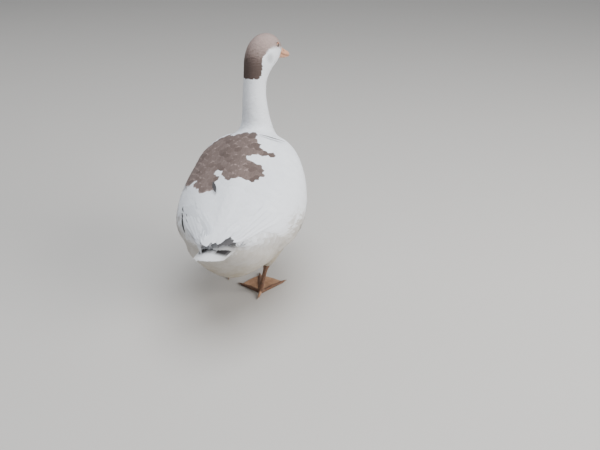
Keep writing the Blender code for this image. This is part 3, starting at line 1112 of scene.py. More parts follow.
@dataclass
class Plumage:
    """Makes feathers on the skin as pieces of the model."""

    hide: Hide
    markings: Markings
    finish: Material
    rng: np.random.Generator

    POINTED = 0.035  # how far a tip is drawn out, as a share of its feather's length
    READ_AT = 0.7  # share of its rows at which a feather takes its markings
    FOLLOW = 0.35  # how much of the coat's way each step of a shaft takes on

    def piece(
        self, name: str, vane: Vane, centres: Array, lengths: Array, widths: Array, depths: Array,
        normals: Array | None = None, snug: bool = False, **fixed: Array,
    ) -> Piece:
        """Makes one piece of coat.

        Args:
            name: its name.
            vane: the form of its feathers.
            centres: for each feather, the places on the skin under its shaft, row by row.
            lengths: the feathers' lengths.
            widths: their widths.
            depths: the coat's depth at each.
            normals: the skin's normals at the centres, when they are known.
            snug: whether the vanes follow the skin across their width too.
            fixed: marks that hold for a whole feather whatever the markings say.

        Returns:
            The piece.
        """
        count, rows, columns = shape = len(centres), vane.rows, vane.columns
        if normals is None:
            normals = self.hide.nearest(centres.reshape(-1, 3))[1].reshape(centres.shape)
        ways = in_plane(np.gradient(centres, axis=1), normals)
        sides = np.cross(normals, ways)
        across = np.linspace(-1, 1, columns)
        half = widths[:, None] / 2 * vane.widths()[None]
        uneven = 1 + vane.ragged * self.rng.normal(size=shape)
        out = across * half[..., None] * uneven
        height = (depths[:, None] * vane.heights()[None])[..., None]
        height = height - vane.camber * across**2 * half[..., None] + vane.roll * across * half[..., None]
        points = centres[:, :, None] + sides[:, :, None] * out[..., None]
        lifts = np.broadcast_to(normals[:, :, None], points.shape)
        if snug:
            found, found_normals = self.hide.nearest(points.reshape(-1, 3))[:2]
            points = (points + found.reshape(points.shape)) / 2
            lifts = unit(lifts + found_normals.reshape(points.shape))
        points = points + lifts * height[..., None]
        tips = ways[:, -1] * (lengths * self.POINTED)[:, None]
        points[:, -1] += tips[:, None] * (1 - across**2)[None, :, None]
        marks = self.markings.numbers(centres[:, int(rows * self.READ_AT)])
        marks["seed"] = self.rng.random(count)
        marks.update(fixed)
        numbers = {key: np.broadcast_to(value[:, None, None], shape) for key, value in marks.items()}
        numbers["grey"] = numbers["grey"] * vane.band()[None, :, None]
        numbers["along"] = np.broadcast_to(vane.shares[None, :, None], shape)
        numbers["across"] = np.broadcast_to(across[None, None], shape)
        roots = self.hide.patch(centres[:, 0])
        patch = np.stack(np.broadcast_arrays(
            across[None, None] * PATCH / 2, (vane.shares[None, :, None] - 0.5) * PATCH
        ), -1)
        uvs = np.clip(roots[:, None, None] + patch, 0, 1)
        made = object_of(
            name, points.reshape(-1, 3), grid_faces(count, rows, columns), self.finish,
            numbers, uvs.reshape(-1, 2),
        )
        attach(made, "root")
        "plumage_brown" if marks["brown"].mean() > 0.5 else "plumage_white"
        return made

    def walk(self, vane: Vane, roots: Array, ways: Array, lengths: Array) -> tuple[Array, Array]:
        """Follows the skin from each root.

        Args:
            vane: the feathers' form.
            roots: their roots on the skin.
            ways: the ways that they set out.
            lengths: their lengths.

        Returns:
            The places under their shafts, row by row, and the normals there.
        """
        place, normal, _, _ = self.hide.nearest(roots)
        way = in_plane(ways, normal)
        places, normals = [place], [normal]
        for step in np.diff(vane.shares):
            place, normal, flow, _ = self.hide.nearest(place + way * (lengths * step)[:, None])
            way = in_plane(way + self.FOLLOW * flow, normal)
            places.append(place)
            normals.append(normal)
        return np.stack(places, 1), np.stack(normals, 1)

    def scatter(self, chosen: Array, spacing: float, spare: float = 5.0) -> tuple[Array, Array]:
        """Spreads roots evenly over part of the skin.

        Args:
            chosen: for each triangle, whether it gets roots.
            spacing: roots' spacing as a share of the feathers' length there.
            spare: candidates for each root that is kept.

        Returns:
            The roots' triangles and their weights in them.
        """
        surface = self.hide.surface
        sizes = self.hide.sizes[surface.triangles, 0].mean(1) * spacing
        share = np.where(chosen, surface.areas() / sizes**2, 0)
        count = int(share.sum() * spare)
        faces = self.rng.choice(len(share), count, p=share / share.sum())
        weights = self.rng.dirichlet((1, 1, 1), count)
        places = self.hide.read(surface.points, faces, weights)
        kept = self.apart(places, sizes[faces])
        return faces[kept], weights[kept]

    @staticmethod
    def apart(places: Array, gaps: Array) -> list[int]:
        """Keeps places that are no nearer to an earlier one than their gaps.

        Args:
            places: one row each.
            gaps: the gap of each.

        Returns:
            The numbers of those that stay.
        """
        kept = []
        for low in 2.0 ** np.arange(-11, -4):
            band = np.nonzero((gaps >= low) & (gaps < 2 * low))[0]
            cells = defaultdict(list)
            keys = np.floor(places[band] / (2 * low)).astype(int)
            steps = [(i, j, k) for i in (-1, 0, 1) for j in (-1, 0, 1) for k in (-1, 0, 1)]
            for number, (x, y, z) in zip(band.tolist(), keys.tolist()):
                px, py, pz = places[number].tolist()
                square = gaps[number] ** 2
                if all(
                    (px - qx) ** 2 + (py - qy) ** 2 + (pz - qz) ** 2 >= square
                    for i, j, k in steps
                    for qx, qy, qz in cells.get((x + i, y + j, z + k), ())
                ):
                    cells[x, y, z].append((px, py, pz))
                    kept.append(number)
        return kept


@dataclass
class BodyCoat:
    """The small feathers of the head, neck, breast, belly, flanks and thighs."""

    plumage: Plumage
    head: HeadFrame
    eyes: list[Array]
    eye_clear: float = 0.0078  # radius round an eye's middle that is left bare for the lids
    sway: float = 0.12
    head_from: float = 0.44  # heights at which the coat of the head and of the neck begin
    neck_from: float = 0.30
    rear_from: float = 0.02  # y at which that of the rear does

    FACE = Vane(
        rows=4, columns=3, base=0.6, shoulder=0.4, rounding=0.45, low=0.60, camber=0.05,
        tuck=0.22, ragged=0.04,
    )
    NECK = Vane(
        rows=6, columns=5, base=0.5, rounding=0.50, low=0.62, camber=0.06, tuck=0.26, ragged=0.03,
    )
    BODY = Vane(rows=7, columns=5, rounding=0.50, low=0.64, camber=0.05, tuck=0.30, ragged=0.03)

    def build(self, bare: Array) -> list[Piece]:
        """Makes the pieces.

        Args:
            bare: for each of the skin's triangles, whether larger feathers cover it.

        Returns:
            The pieces.
        """
        hide = self.plumage.hide
        middles = hide.surface.points[hide.surface.triangles].mean(1)
        for eye in self.eyes:
            bare = bare | (np.linalg.norm(middles - eye, axis=1) < self.eye_clear)
        high, rear = middles[:, 2], middles[:, 1] >= self.rear_from
        face = (high > self.head_from) & ~bare
        neck = (high <= self.head_from) & (high > self.neck_from) & ~bare
        body = (high <= self.neck_from) & ~bare
        return [
            self.patch("coat_head", self.FACE, face, 0.33, 0.72),
            self.patch("coat_neck", self.NECK, neck, 0.27, 0.70),
            self.patch("coat_body", self.BODY, body & ~rear, 0.23, 0.80),
            self.patch("coat_rear", self.BODY, body & rear, 0.23, 0.80),
        ]

    def patch(self, name: str, vane: Vane, chosen: Array, spacing: float, broad: float) -> Piece:
        """One piece of coat over the chosen triangles.

        Args:
            name: its name.
            vane: its feathers' form.
            chosen: for each of the skin's triangles, whether it has roots.
            spacing: the roots' spacing, as a share of a feather's length.
            broad: a feather's width, as a share of its length.

        Returns:
            The piece.
        """
        hide, rng = self.plumage.hide, self.plumage.rng
        faces, weights = self.plumage.scatter(chosen, spacing)
        roots = hide.read(hide.surface.points, faces, weights)
        normals = unit(hide.read(hide.normals, faces, weights))
        flow = hide.read(hide.flow, faces, weights)
        sizes = hide.read(hide.sizes, faces, weights)
        count = len(roots)
        lengths = sizes[:, 0] * rng.normal(1, 0.10, count).clip(0.75, 1.3)
        ways = flow + np.cross(normals, flow) * rng.normal(0, self.sway, count)[:, None]
        places, normals = self.plumage.walk(vane, roots, ways, lengths)
        depths = sizes[:, 1] * rng.normal(1, 0.05, count)
        return self.plumage.piece(
            name, vane, places, lengths, lengths * broad, depths, normals, snug=True
        )


# ---- wings, saddle and tail
def spine(back: Array | float) -> Array:
    """The height of the line that the large feathers' angles are counted about."""
    return SPINE_UP + SPINE_RISE * ease(0.10, 0.26, back)


@dataclass
class Wrap:
    """The smooth form under the large feathers: trunk, folded wings and tail taken as one."""

    hide: Hide
    tail: Piece
    turn_step: float = 3.0
    back_step: float = 0.005
    first: float = -0.17
    last: float = 0.30
    far: float = 0.24
    rounds: int = 3
    bridged: tuple = (0.02, 0.14)  # y between which hollows come to be bridged
    steepest: tuple = (0.50, 1.70)  # most that it falls for each metre back there, above and aside
    sides: tuple = (40.0, 105.0)  # degrees from straight up where the second comes to hold
    turns: Array = field(init=False)
    backs: Array = field(init=False)
    radii: Array = field(init=False)

    def __post_init__(self) -> None:
        """Measures the form in slices, and smooths what it finds."""
        self.turns = np.arange(-180, 180 + self.turn_step / 2, self.turn_step)
        self.backs = np.arange(self.first, self.last, self.back_step)
        self.radii = np.full((len(self.backs), len(self.turns)), 0.012)
        tree = self.tree_of()
        for i, back in enumerate(self.backs):
            axis = Vector((0, back, float(spine(back))))
            for j, turn in enumerate(np.radians(self.turns)):
                out = Vector((math.sin(turn), 0, math.cos(turn)))
                hit = tree.ray_cast(axis + out * self.far, -out, self.far)[0]
                if hit is not None:
                    self.radii[i, j] = (hit - axis).length
        self.bridge()
        for _ in range(self.rounds):
            wide = np.pad(self.radii, 1, "edge")
            wide[1:-1, 0], wide[1:-1, -1] = self.radii[:, -2], self.radii[:, 1]
            rows = (wide[:-2] + 2 * wide[1:-1] + wide[2:]) / 4
            self.radii = (rows[:, :-2] + 2 * rows[:, 1:-1] + rows[:, 2:]) / 4

    def bridge(self) -> None:
        """Spans the hollows round the rump, and the drop past the wings' tips, with straight lines."""
        rear = np.nonzero(self.backs > self.bridged[0])[0]
        core = found = self.radii[rear, :-1]
        for step in (14, 10, 7, 5, 3, 2, 1) * 2:
            one, other = np.roll(core, step, axis=1), np.roll(core, -step, axis=1)
            chord = 2 * one * other * math.cos(math.radians(step * self.turn_step)) / (one + other)
            core = np.maximum(core, chord)
        core = found + (core - found) * ease(*self.bridged, self.backs[rear])[:, None]
        gentle, steep = self.steepest
        fall = gentle + (steep - gentle) * ease(*self.sides, np.abs(self.turns[:-1]))
        for i in range(1, len(rear)):
            core[i] = np.maximum(core[i], core[i - 1] - fall * self.back_step)
        self.radii[rear] = np.concatenate([core, core[:, :1]], axis=1)

    def tree_of(self) -> BVHTree:
        """A search tree over the skin and the tail's solid.

        Returns:
            The tree.
        """
        surface = self.hide.surface
        faces = [[v + len(surface.points) for v in face.vertices] for face in self.tail.data.polygons]
        points = np.concatenate([surface.points, vertices_of(self.tail)])
        return BVHTree.FromPolygons(points.tolist(), surface.triangles.tolist() + faces)

    def places(self, turns: Array, backs: Array) -> Array:
        """The places on the form at angles from straight up, in degrees, and distances back.

        Args:
            turns: the angles.
            backs: the y of each.

        Returns:
            The places.
        """
        along = np.clip((backs - self.first) / self.back_step, 0, len(self.backs) - 1.001)
        about = np.clip((turns + 180) / self.turn_step, 0, len(self.turns) - 1.001)
        i, j = along.astype(int), about.astype(int)
        u, v = along - i, about - j
        low = self.radii[i, j] * (1 - v) + self.radii[i, j + 1] * v
        high = self.radii[i + 1, j] * (1 - v) + self.radii[i + 1, j + 1] * v
        radius, angle = low * (1 - u) + high * u, np.radians(turns)
        return np.stack([radius * np.sin(angle), backs, spine(backs) + radius * np.cos(angle)], -1)

    def lay(self, turns: Array, backs: Array) -> tuple[Array, Array]:
        """The places on the form at angles and distances back, and its normals there.

        Args:
            turns: the angles.
            backs: the y of each.

        Returns:
            The places and the normals.
        """
        across = self.places(turns + 2.5, backs) - self.places(turns - 2.5, backs)
        along = self.places(turns, backs + 0.006) - self.places(turns, backs - 0.006)
        return self.places(turns, backs), unit(np.cross(across, along))


@dataclass
class WingMap:
    """A folded wing's upper and lower edges, as angles round the trunk."""

    node: Piece
    side: Side
    bins: int = 26
    backs: Array = field(init=False)
    tops: Array = field(init=False)
    lows: Array = field(init=False)

    def __post_init__(self) -> None:
        """Reads the edges off the wing's solid."""
        places = vertices_of(self.node)
        up = places[:, 2] - spine(places[:, 1])
        turns = np.degrees(np.arctan2(places[:, 0] * self.side.value, up))
        low, high = places[:, 1].min(), places[:, 1].max()
        self.backs = np.linspace(low, high, self.bins)
        span = (high - low) / self.bins
        tops, lows = [], []
        for back in self.backs:
            near = turns[np.abs(places[:, 1] - back) < span]
            tops.append(near.min())
            lows.append(near.max())
        kernel = np.array([1, 2, 3, 2, 1]) / 9
        self.tops = np.convolve(np.pad(tops, 2, "edge"), kernel, "valid")
        self.lows = np.convolve(np.pad(lows, 2, "edge"), kernel, "valid")

    @property
    def front(self) -> float:
        """The y of its shoulder."""
        return float(self.backs[0])

    @property
    def tip(self) -> float:
        """The y of its tip."""
        return float(self.backs[-1])

    def edges(self, back: Array) -> tuple[Array, Array]:
        """The angles of its upper and its lower edge at distances back."""
        return np.interp(back, self.backs, self.tops), np.interp(back, self.backs, self.lows)

    def turn(self, share: Array, back: Array) -> Array:
        """The angle a share of the way from its upper to its lower edge, at distances back."""
        top, low = self.edges(back)
        return self.side.value * (top + (low - top) * share)


@dataclass(frozen=True)
class Coverts:
    """A band of staggered rows of coverts across a folded wing."""

    name: str
    first: float  # y of its first row
    last: float  # y that its last row stays short of
    gap: float  # between rows
    spread: float  # between the feathers of a row
    length: float
    wide: float
    lift: float  # the depth of coat that their heights are shares of


@dataclass
class FlightFeathers:
    """The large feathers of one folded wing, in rows."""

    plumage: Plumage
    wrap: Wrap
    wing: WingMap

    primary_shares: tuple = (0.04, 0.40)  # where across the wing the first and the last one start
    primary_root: float = 0.11  # y of their roots
    past: float = 0.010  # how far the first one reaches past the wing's solid
    shorter: float = 0.0012  # by how much each is shorter than the one before
    primary_grey: tuple = (0.75, 1.0)  # how grey their tips are, on the left and on the right wing
    secondary_shares: tuple = (0.90, 0.26)
    secondary_tips: tuple = (0.085, 0.249)  # y of the first one's tip and of the last one's
    tertial_shares: tuple = (0.54, 0.02)
    tertial_tip: tuple = (0.257, 0.248)  # y of the first one's, on the left and on the right wing
    shoulder_rows: float = 0.004  # how far before the wing's solid the lesser coverts start
    radius: float = 0.13  # of the trunk, from which the number of coverts in a row follows
    drift: float = 0.10  # how far in shares of the wing the secondaries run downwards
    spreading: float = 0.13  # how far in shares of the wing the primaries run outwards

    COVERT = Vane(rows=8, columns=5, low=0.62, high=1.0, camber=0.05, tuck=0.30, ragged=0.03)
    QUILL = Vane(
        rows=14, columns=7, base=0.5, shoulder=0.3, rounding=0.84, low=0.70, high=1.05,
        camber=0.05, roll=0.04, ragged=0.012, tuck=0.3,
    )
    PRIMARY = Vane(
        rows=18, columns=7, base=0.5, shoulder=0.3, rounding=0.86, low=0.6, high=1.0,
        camber=0.07, roll=0.05, ragged=0.012, tuck=0.1, dark_from=0.79,
    )

    def row(
        self, name: str, vane: Vane, shares: Array, start: Array, end: Array, wide: float,
        lift: float, drift: float = 0.0, **fixed: Array,
    ) -> Piece:
        """Makes feathers that run back along the wing.

        Args:
            name: the piece's name.
            vane: their form.
            shares: for each, its place from the wing's upper edge (0) to its lower one (1).
            start: the y of each root.
            end: the y of each tip.
            wide: their width.
            lift: the depth of coat that their heights are shares of.
            drift: how far in shares each runs towards the lower edge on its way back.
            fixed: marks of whole feathers.

        Returns:
            The piece.
        """
        t = vane.shares[None]
        backs = start[:, None] + (end - start)[:, None] * t
        turns = self.wing.turn(shares[:, None] + drift * t, backs)
        places, normals = self.wrap.lay(turns, backs)
        count = len(shares)
        widths = wide * self.plumage.rng.normal(1, 0.05, count)
        return self.plumage.piece(
            f"{name}_{self.wing.side.word}", vane, places, end - start, widths,
            np.full(count, lift), normals, **fixed,
        )

    def quincunx(self, first: float, last: float, gap: float, spread: float) -> tuple[Array, Array]:
        """Roots in staggered rows between two distances back.

        Args:
            first: the y of the first row.
            last: the y of the last row.
            gap: the distance between rows.
            spread: the distance between the feathers of a row.

        Returns:
            The roots' shares across the wing and their y.
        """
        shares, backs = [], []
        for number, back in enumerate(np.arange(first, last, gap)):
            top, low = (abs(self.wing.turn(np.array([s]), np.array([back]))[0]) for s in (0, 1))
            count = max(2, round(math.radians(low - top) * self.radius / spread))
            step = (np.arange(count) + 0.5 * (number % 2)) / count
            shares.append(step)
            backs.append(np.full(count, back))
        shares, backs = np.concatenate(shares), np.concatenate(backs)
        jitter = self.plumage.rng.normal(0, 1, (2, len(shares)))
        return np.clip(shares + jitter[0] * 0.012, 0.02, 0.98), backs + jitter[1] * 0.0012

    def build(self) -> list[Piece]:
        """Makes the wing's pieces, from the quills up to the small coverts.

        Returns:
            The pieces.
        """
        rng, wing = self.plumage.rng, self.wing
        right = int(wing.side is Side.RIGHT)
        count = 8
        none = np.zeros(count)
        ends = wing.tip + self.past - self.shorter * np.arange(count) - rng.random(count) * 0.002
        made = [self.row(
            "primaries", self.PRIMARY, np.linspace(*self.primary_shares, count),
            none + self.primary_root, ends, 0.017, 0.0050, self.spreading,
            grey=none + self.primary_grey[right], brown=none,
        )]
        count = 24
        ends = np.linspace(*self.secondary_tips, count) + rng.normal(0, 0.0010, count)
        made.append(self.row(
            "secondaries", self.QUILL, np.linspace(*self.secondary_shares, count), ends - 0.12, ends,
            0.029, 0.0048, self.drift,
        ))
        count, tip = 9, self.tertial_tip[right]
        ends = np.linspace(tip, tip - 0.010, count) + rng.normal(0, 0.0012, count)
        made.append(self.row(
            "tertials", self.QUILL, np.linspace(*self.tertial_shares, count), ends - 0.15, ends,
            0.036, 0.0058,
        ))
        for band in (
            Coverts("greater_coverts", 0.012, 0.080, 0.013, 0.013, 0.048, 0.028, 0.0062),
            Coverts("median_coverts", -0.045, 0.020, 0.010, 0.011, 0.034, 0.024, 0.0066),
            Coverts(
                "lesser_coverts", wing.front - self.shoulder_rows, -0.040, 0.0075, 0.009, 0.024,
                0.018, 0.0064,
            ),
        ):
            shares, backs = self.quincunx(band.first, band.last, band.gap, band.spread)
            made.append(self.row(
                band.name, self.COVERT, shares, backs, backs + band.length, band.wide, band.lift
            ))
        return made


@dataclass
class Saddle:
    """The scapulars: broad feathers over the shoulders and the upper back."""

    plumage: Plumage
    wrap: Wrap
    first: float = -0.098
    last: float = 0.100
    reach: float = 54.0  # degrees to each side
    gap: float = 0.0125
    spread: float = 0.0140
    length: float = 0.044
    wide: float = 0.026
    lift: float = 0.0085
    thinner: float = 0.0022  # how much less deep the coat is towards its edges
    radius: float = 0.125  # of the back, from which the number of feathers in a row follows

    VANE = Vane(
        rows=9, columns=7, low=0.55, high=1.05, rounding=0.50, camber=0.08, tuck=0.30, ragged=0.03,
    )

    def build(self) -> Piece:
        """Makes the rows.

        Returns:
            The piece.
        """
        rng = self.plumage.rng
        turns, backs = [], []
        for number, back in enumerate(np.arange(self.first, self.last, self.gap)):
            count = round(2 * math.radians(self.reach) * self.radius / self.spread)
            row = np.linspace(-self.reach, self.reach, count)
            turns.append(row + (number % 2 - 0.5) * (row[1] - row[0]) * 0.5)
            backs.append(np.full(count, back) + np.abs(row) / self.reach * 0.008)
        turns = np.concatenate(turns) + rng.normal(0, 0.6, sum(map(len, turns)))
        backs = np.concatenate(backs) + rng.normal(0, 0.0015, len(turns))
        lengths = self.length * rng.normal(1, 0.06, len(turns))
        t = self.VANE.shares[None]
        way = backs[:, None] + lengths[:, None] * t
        places, normals = self.wrap.lay(turns[:, None] * (1 + 0.05 * t), way)
        widths = self.wide * rng.normal(1, 0.05, len(turns))
        depths = self.lift - self.thinner * np.maximum(
            (np.abs(turns) / self.reach) ** 4, ease(self.last - 0.04, self.last, backs)
        )
        return self.plumage.piece("scapulars", self.VANE, places, lengths, widths, depths, normals)


@dataclass
class Rump:
    """The feathers between the folded wings, a few odd dark ones, and a dark sliver of painted shadow at
    the neck's root.
    """

    plumage: Plumage
    wrap: Wrap
    first: float = 0.092
    last: float = 0.2195
    gap: float = 0.0098
    spread: float = 0.0120
    reach: tuple = (36.0, 33.0)  # degrees to each side of the middle, at the front and at the back
    length: float = 0.046
    wide: float = 0.026
    lift: float = 0.0080
    aside: float = 13.0  # degrees that the hindmost lie to the left of the middle
    skew: float = 0.00014  # how much farther back each degree to the left takes a hind feather
    hind: tuple = (0.17, 0.21)  # y between which both come to hold
    odd: tuple = (  # angle and y of the root and of the tip, width and lift of each dark feather, the last a sliver of painted shadow
        (24.0, 0.090, 18.5, 0.124, 0.0078, 0.0148),
        (62.0, 0.104, 69.0, 0.150, 0.0080, 0.0058),
        (67.0, 0.132, 78.0, 0.186, 0.0090, 0.0056),
        (61.0, 0.150, 64.5, 0.184, 0.0060, 0.0058),
        # The last is painted shadow: a dark sliver along the gap where the neck's feathers meet the
        # scapulars.
        (-31.0, -0.0900, -8.0, -0.0775, 0.0042, 0.0120),
    )

    VANE = Vane(
        rows=10, columns=7, low=0.60, high=1.0, rounding=0.52, camber=0.06, tuck=0.25, ragged=0.025,
    )
    SLIVER = Vane(rows=9, columns=5, base=0.3, low=0.9, high=1.0, rounding=0.4, camber=0.1)

    def build(self) -> list[Piece]:
        """Makes the pieces.

        Returns:
            The pieces.
        """
        rng = self.plumage.rng
        turns, backs = [], []
        for number, back in enumerate(np.arange(self.first, self.last, self.gap)):
            reach = np.interp(back, (self.first, self.last), self.reach)
            radius = self.wrap.places(np.zeros(1), np.array([back]))[0, 2] - spine(back)
            count = max(3, round(2 * math.radians(reach) * radius / self.spread))
            row = np.linspace(-reach, reach, count) + self.aside * ease(*self.hind, back)
            turns.append(row + (number % 2 - 0.5) * (row[1] - row[0]) / 2)
            backs.append(back + row * self.skew * ease(*self.hind, back))
        turns, backs = np.concatenate(turns), np.concatenate(backs)
        turns = turns + rng.normal(0, 0.8, len(turns))
        backs = backs + rng.normal(0, 0.0012, len(turns))
        lengths = self.length * rng.normal(1, 0.05, len(turns))
        made = [self.laid("rump", self.VANE, turns, backs, turns, lengths, self.wide, self.lift)]
        first, start, last, end, wide, lift = np.array(self.odd).T
        none = np.zeros(len(first))
        made.append(self.laid(
            "odd_feathers", self.SLIVER, first, start, last, end - start, wide, lift, brown=none,
            grey=none + 1,
        ))
        return made

    def laid(
        self, name: str, vane: Vane, turns: Array, backs: Array, ends: Array, lengths: Array,
        wide: Array | float, lift: Array | float, **fixed: Array,
    ) -> Piece:
        """Makes feathers that run back over the rump.

        Args:
            name: the piece's name.
            vane: their form.
            turns: the angles of their roots.
            backs: the y of their roots.
            ends: the angles of their tips.
            lengths: their lengths.
            wide: their width.
            lift: the coat's depth.
            fixed: marks of whole feathers.

        Returns:
            The piece.
        """
        t = vane.shares[None]
        turn = turns[:, None] + (ends - turns)[:, None] * t
        places, normals = self.wrap.lay(turn, backs[:, None] + lengths[:, None] * t)
        none = np.zeros(len(turns))
        return self.plumage.piece(
            name, vane, places, lengths, none + wide, none + lift, normals, **fixed
        )


@dataclass
class Tail:
    """The fan of tail feathers and the coverts on it."""

    plumage: Plumage
    root_half: float = 0.030
    half: float = 0.0300
    aside: float = 0.0085  # how far to the left of its solid's middle the fan's tip lies
    before: float = 0.005  # how far before its solid the roots lie
    short: float = 0.008  # how far before its solid's end the middle one ends
    rounding: tuple = (0.020, 2.6)  # by how much the outermost are shorter, and the curve's power
    stack: float = 0.0025  # how much higher the middle one lies than the outermost
    below: float = 0.0035  # how far under its solid's top the shafts start
    arch: float = 0.009  # how far the fan's sides drop
    fall: float = 0.004  # how far its end does
    dark: tuple = (0, 0.8, 1, 1, 0.9, 0.5, 0.3, 0.5, 1, 1, 1, 1, 0.9, 0)  # from the left

    QUILL = Vane(
        rows=16, columns=7, base=0.5, shoulder=0.35, rounding=0.86, low=0, high=0, tuck=0,
        camber=0.03, ragged=0.008, dark_to=0.62,
    )
    COVERT = Vane(
        rows=10, columns=7, base=0.5, rounding=0.60, low=0.4, high=1.0, tuck=0.3, camber=0.05,
        ragged=0.02,
    )

    def build(self) -> list[Piece]:
        """Makes the fan and its coverts.

        Returns:
            The pieces.
        """
        grey = np.array(self.dark)
        made = [
            self.fan("tail_feathers", self.QUILL, overlap=3.2, reach=1.0, lift=0.001, grey=grey),
            self.fan("tail_coverts", self.COVERT, overlap=2.6, reach=0.50, lift=0.0045, grey=np.zeros(12)),
        ]
        for piece in made:
            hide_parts("tail")
        return made

    def fan(
        self, name: str, vane: Vane, overlap: float, reach: float, lift: float, grey: Array
    ) -> Piece:
        """Makes feathers that spread over the tail.

        Args:
            name: the piece's name.
            vane: their form.
            overlap: their width as a share of the room that each has.
            reach: the share of the tail that they cover.
            lift: the depth of coat that their heights are shares of.
            grey: how grey each one is, from the left.

        Returns:
            The piece.
        """
        count = len(grey)
        low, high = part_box("tail")
        middle, half = (low.x + high.x) / 2 + self.aside, self.half
        order, none = np.linspace(1, -1, count), np.zeros(count)
        root = np.stack([order * self.root_half, none + low.y - self.before, none], -1)
        shorter, power = self.rounding
        length = (high.y - root[:, 1] - self.short) * reach - shorter * np.abs(order) ** power
        length = length + self.plumage.rng.normal(0, 0.0012, count)
        width = 2 * half / count * overlap
        t = vane.shares[None, :, None] * reach
        aside = middle + order * (half - width / 2) - root[:, 0]
        places = root[:, None] + np.stack([aside, length / reach, none], -1)[:, None] * t
        away = (places[..., 0] - middle * t[..., 0]) / half
        stack = (1 - np.abs(order))[:, None] * self.stack
        places[..., 2] = high.z - self.below - self.arch * away**2 - self.fall * t[..., 0] + stack
        normals = unit(np.stack([0.5 * away, 0 * away, 0 * away + 1], -1))
        return self.plumage.piece(
            name, vane, places, length, none + width, none + lift, normals, grey=grey, brown=none
        )


# ---- eyes and bill
@dataclass
class Eye:
    """One eyeball with its lids."""

    node: Piece
    side: Side
    head: HeadFrame
    rings: int = 28
    around: int = 40
    lid_width: float = 0.0062  # half the opening from corner to corner
    lid_height: float = 0.0052
    lid_thick: float = 0.0011
    tube: int = 10  # points round the rim of a lid
    gaze: tuple = (0.12, 0.06)  # how far it looks forward and up
    corners: tuple = (0.16, 6)  # how far the lids' corners are drawn out, and the curve's power

    def build(self, glass: Material, skin: Material) -> list[Piece]:
        """Makes the eyeball and the lids round it.

        Args:
            glass: the eyeball's finish.
            skin: the lids' finish.

        Returns:
            Both pieces.
        """
        places = vertices_of(self.node)
        middle, radius = places.mean(0), (places[:, 2].max() - places[:, 2].min()) / 2
        forward, up = self.gaze
        out = unit(self.head.left * self.side.value + self.head.forward * forward + UP * up)
        ahead = unit(self.head.forward - out * dot(self.head.forward, out))
        upward = np.cross(out, ahead) * self.side.value
        polar = np.linspace(0.001, math.pi - 0.001, self.rings)[:, None]
        turn = full_turn(self.around)[None]
        points = middle + radius * (
            np.cos(polar)[..., None] * out
            + (np.sin(polar) * np.cos(turn))[..., None] * ahead
            + (np.sin(polar) * np.sin(turn))[..., None] * upward
        )
        off = np.broadcast_to(np.sin(np.minimum(polar, math.pi / 2)), (self.rings, self.around))
        ball = object_of(
            f"eyeball_{self.side.word}", points.reshape(-1, 3),
            grid_faces(1, self.rings, self.around, True), glass, {"off": off.ravel()},
        )
        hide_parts(f"eye_{self.side.word}")
        lids = self.lids(middle, radius, out, ahead, upward, skin)
        for piece, slot in ((ball, "eye"), (lids, "bill_horn")):
            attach(piece, "root")
        return [ball, lids]

    def lids(
        self, middle: Array, radius: float, out: Array, ahead: Array, upward: Array,
        skin: Material,
    ) -> Piece:
        """The ring of bare skin that frames the eye and lies on the ball.

        Args:
            middle: the ball's middle.
            radius: its radius.
            out: the way that the eye looks.
            ahead: the way from corner to corner, towards the bill.
            upward: the way across the opening.
            skin: the ring's finish.

        Returns:
            The piece.
        """
        turn = full_turn(self.around)
        pinch = 1 + self.corners[0] * np.abs(np.cos(turn)) ** self.corners[1]
        x, y = self.lid_width * np.cos(turn) * pinch, self.lid_height * np.sin(turn)
        flat = x[:, None] * ahead + y[:, None] * upward
        rise = np.sqrt(np.maximum(radius**2 - x**2 - y**2, 0.2 * radius**2)) + 0.0002
        centre = middle + flat + rise[:, None] * out
        outward = unit(flat)
        tube = full_turn(self.tube)
        points = (
            centre[:, None]
            + outward[:, None] * (np.cos(tube) * self.lid_thick * 1.3)[None, :, None]
            + out * (np.sin(tube) * self.lid_thick * 0.7)[None, :, None]
        )
        first = np.arange(self.tube)
        last = (self.around - 1) * self.tube + first
        seam = np.stack([last, np.roll(last, -1), np.roll(first, -1), first], -1)
        faces = np.concatenate([grid_faces(1, self.around, self.tube, True), seam])
        return object_of(f"eyelids_{self.side.word}", points.reshape(-1, 3), faces, skin)


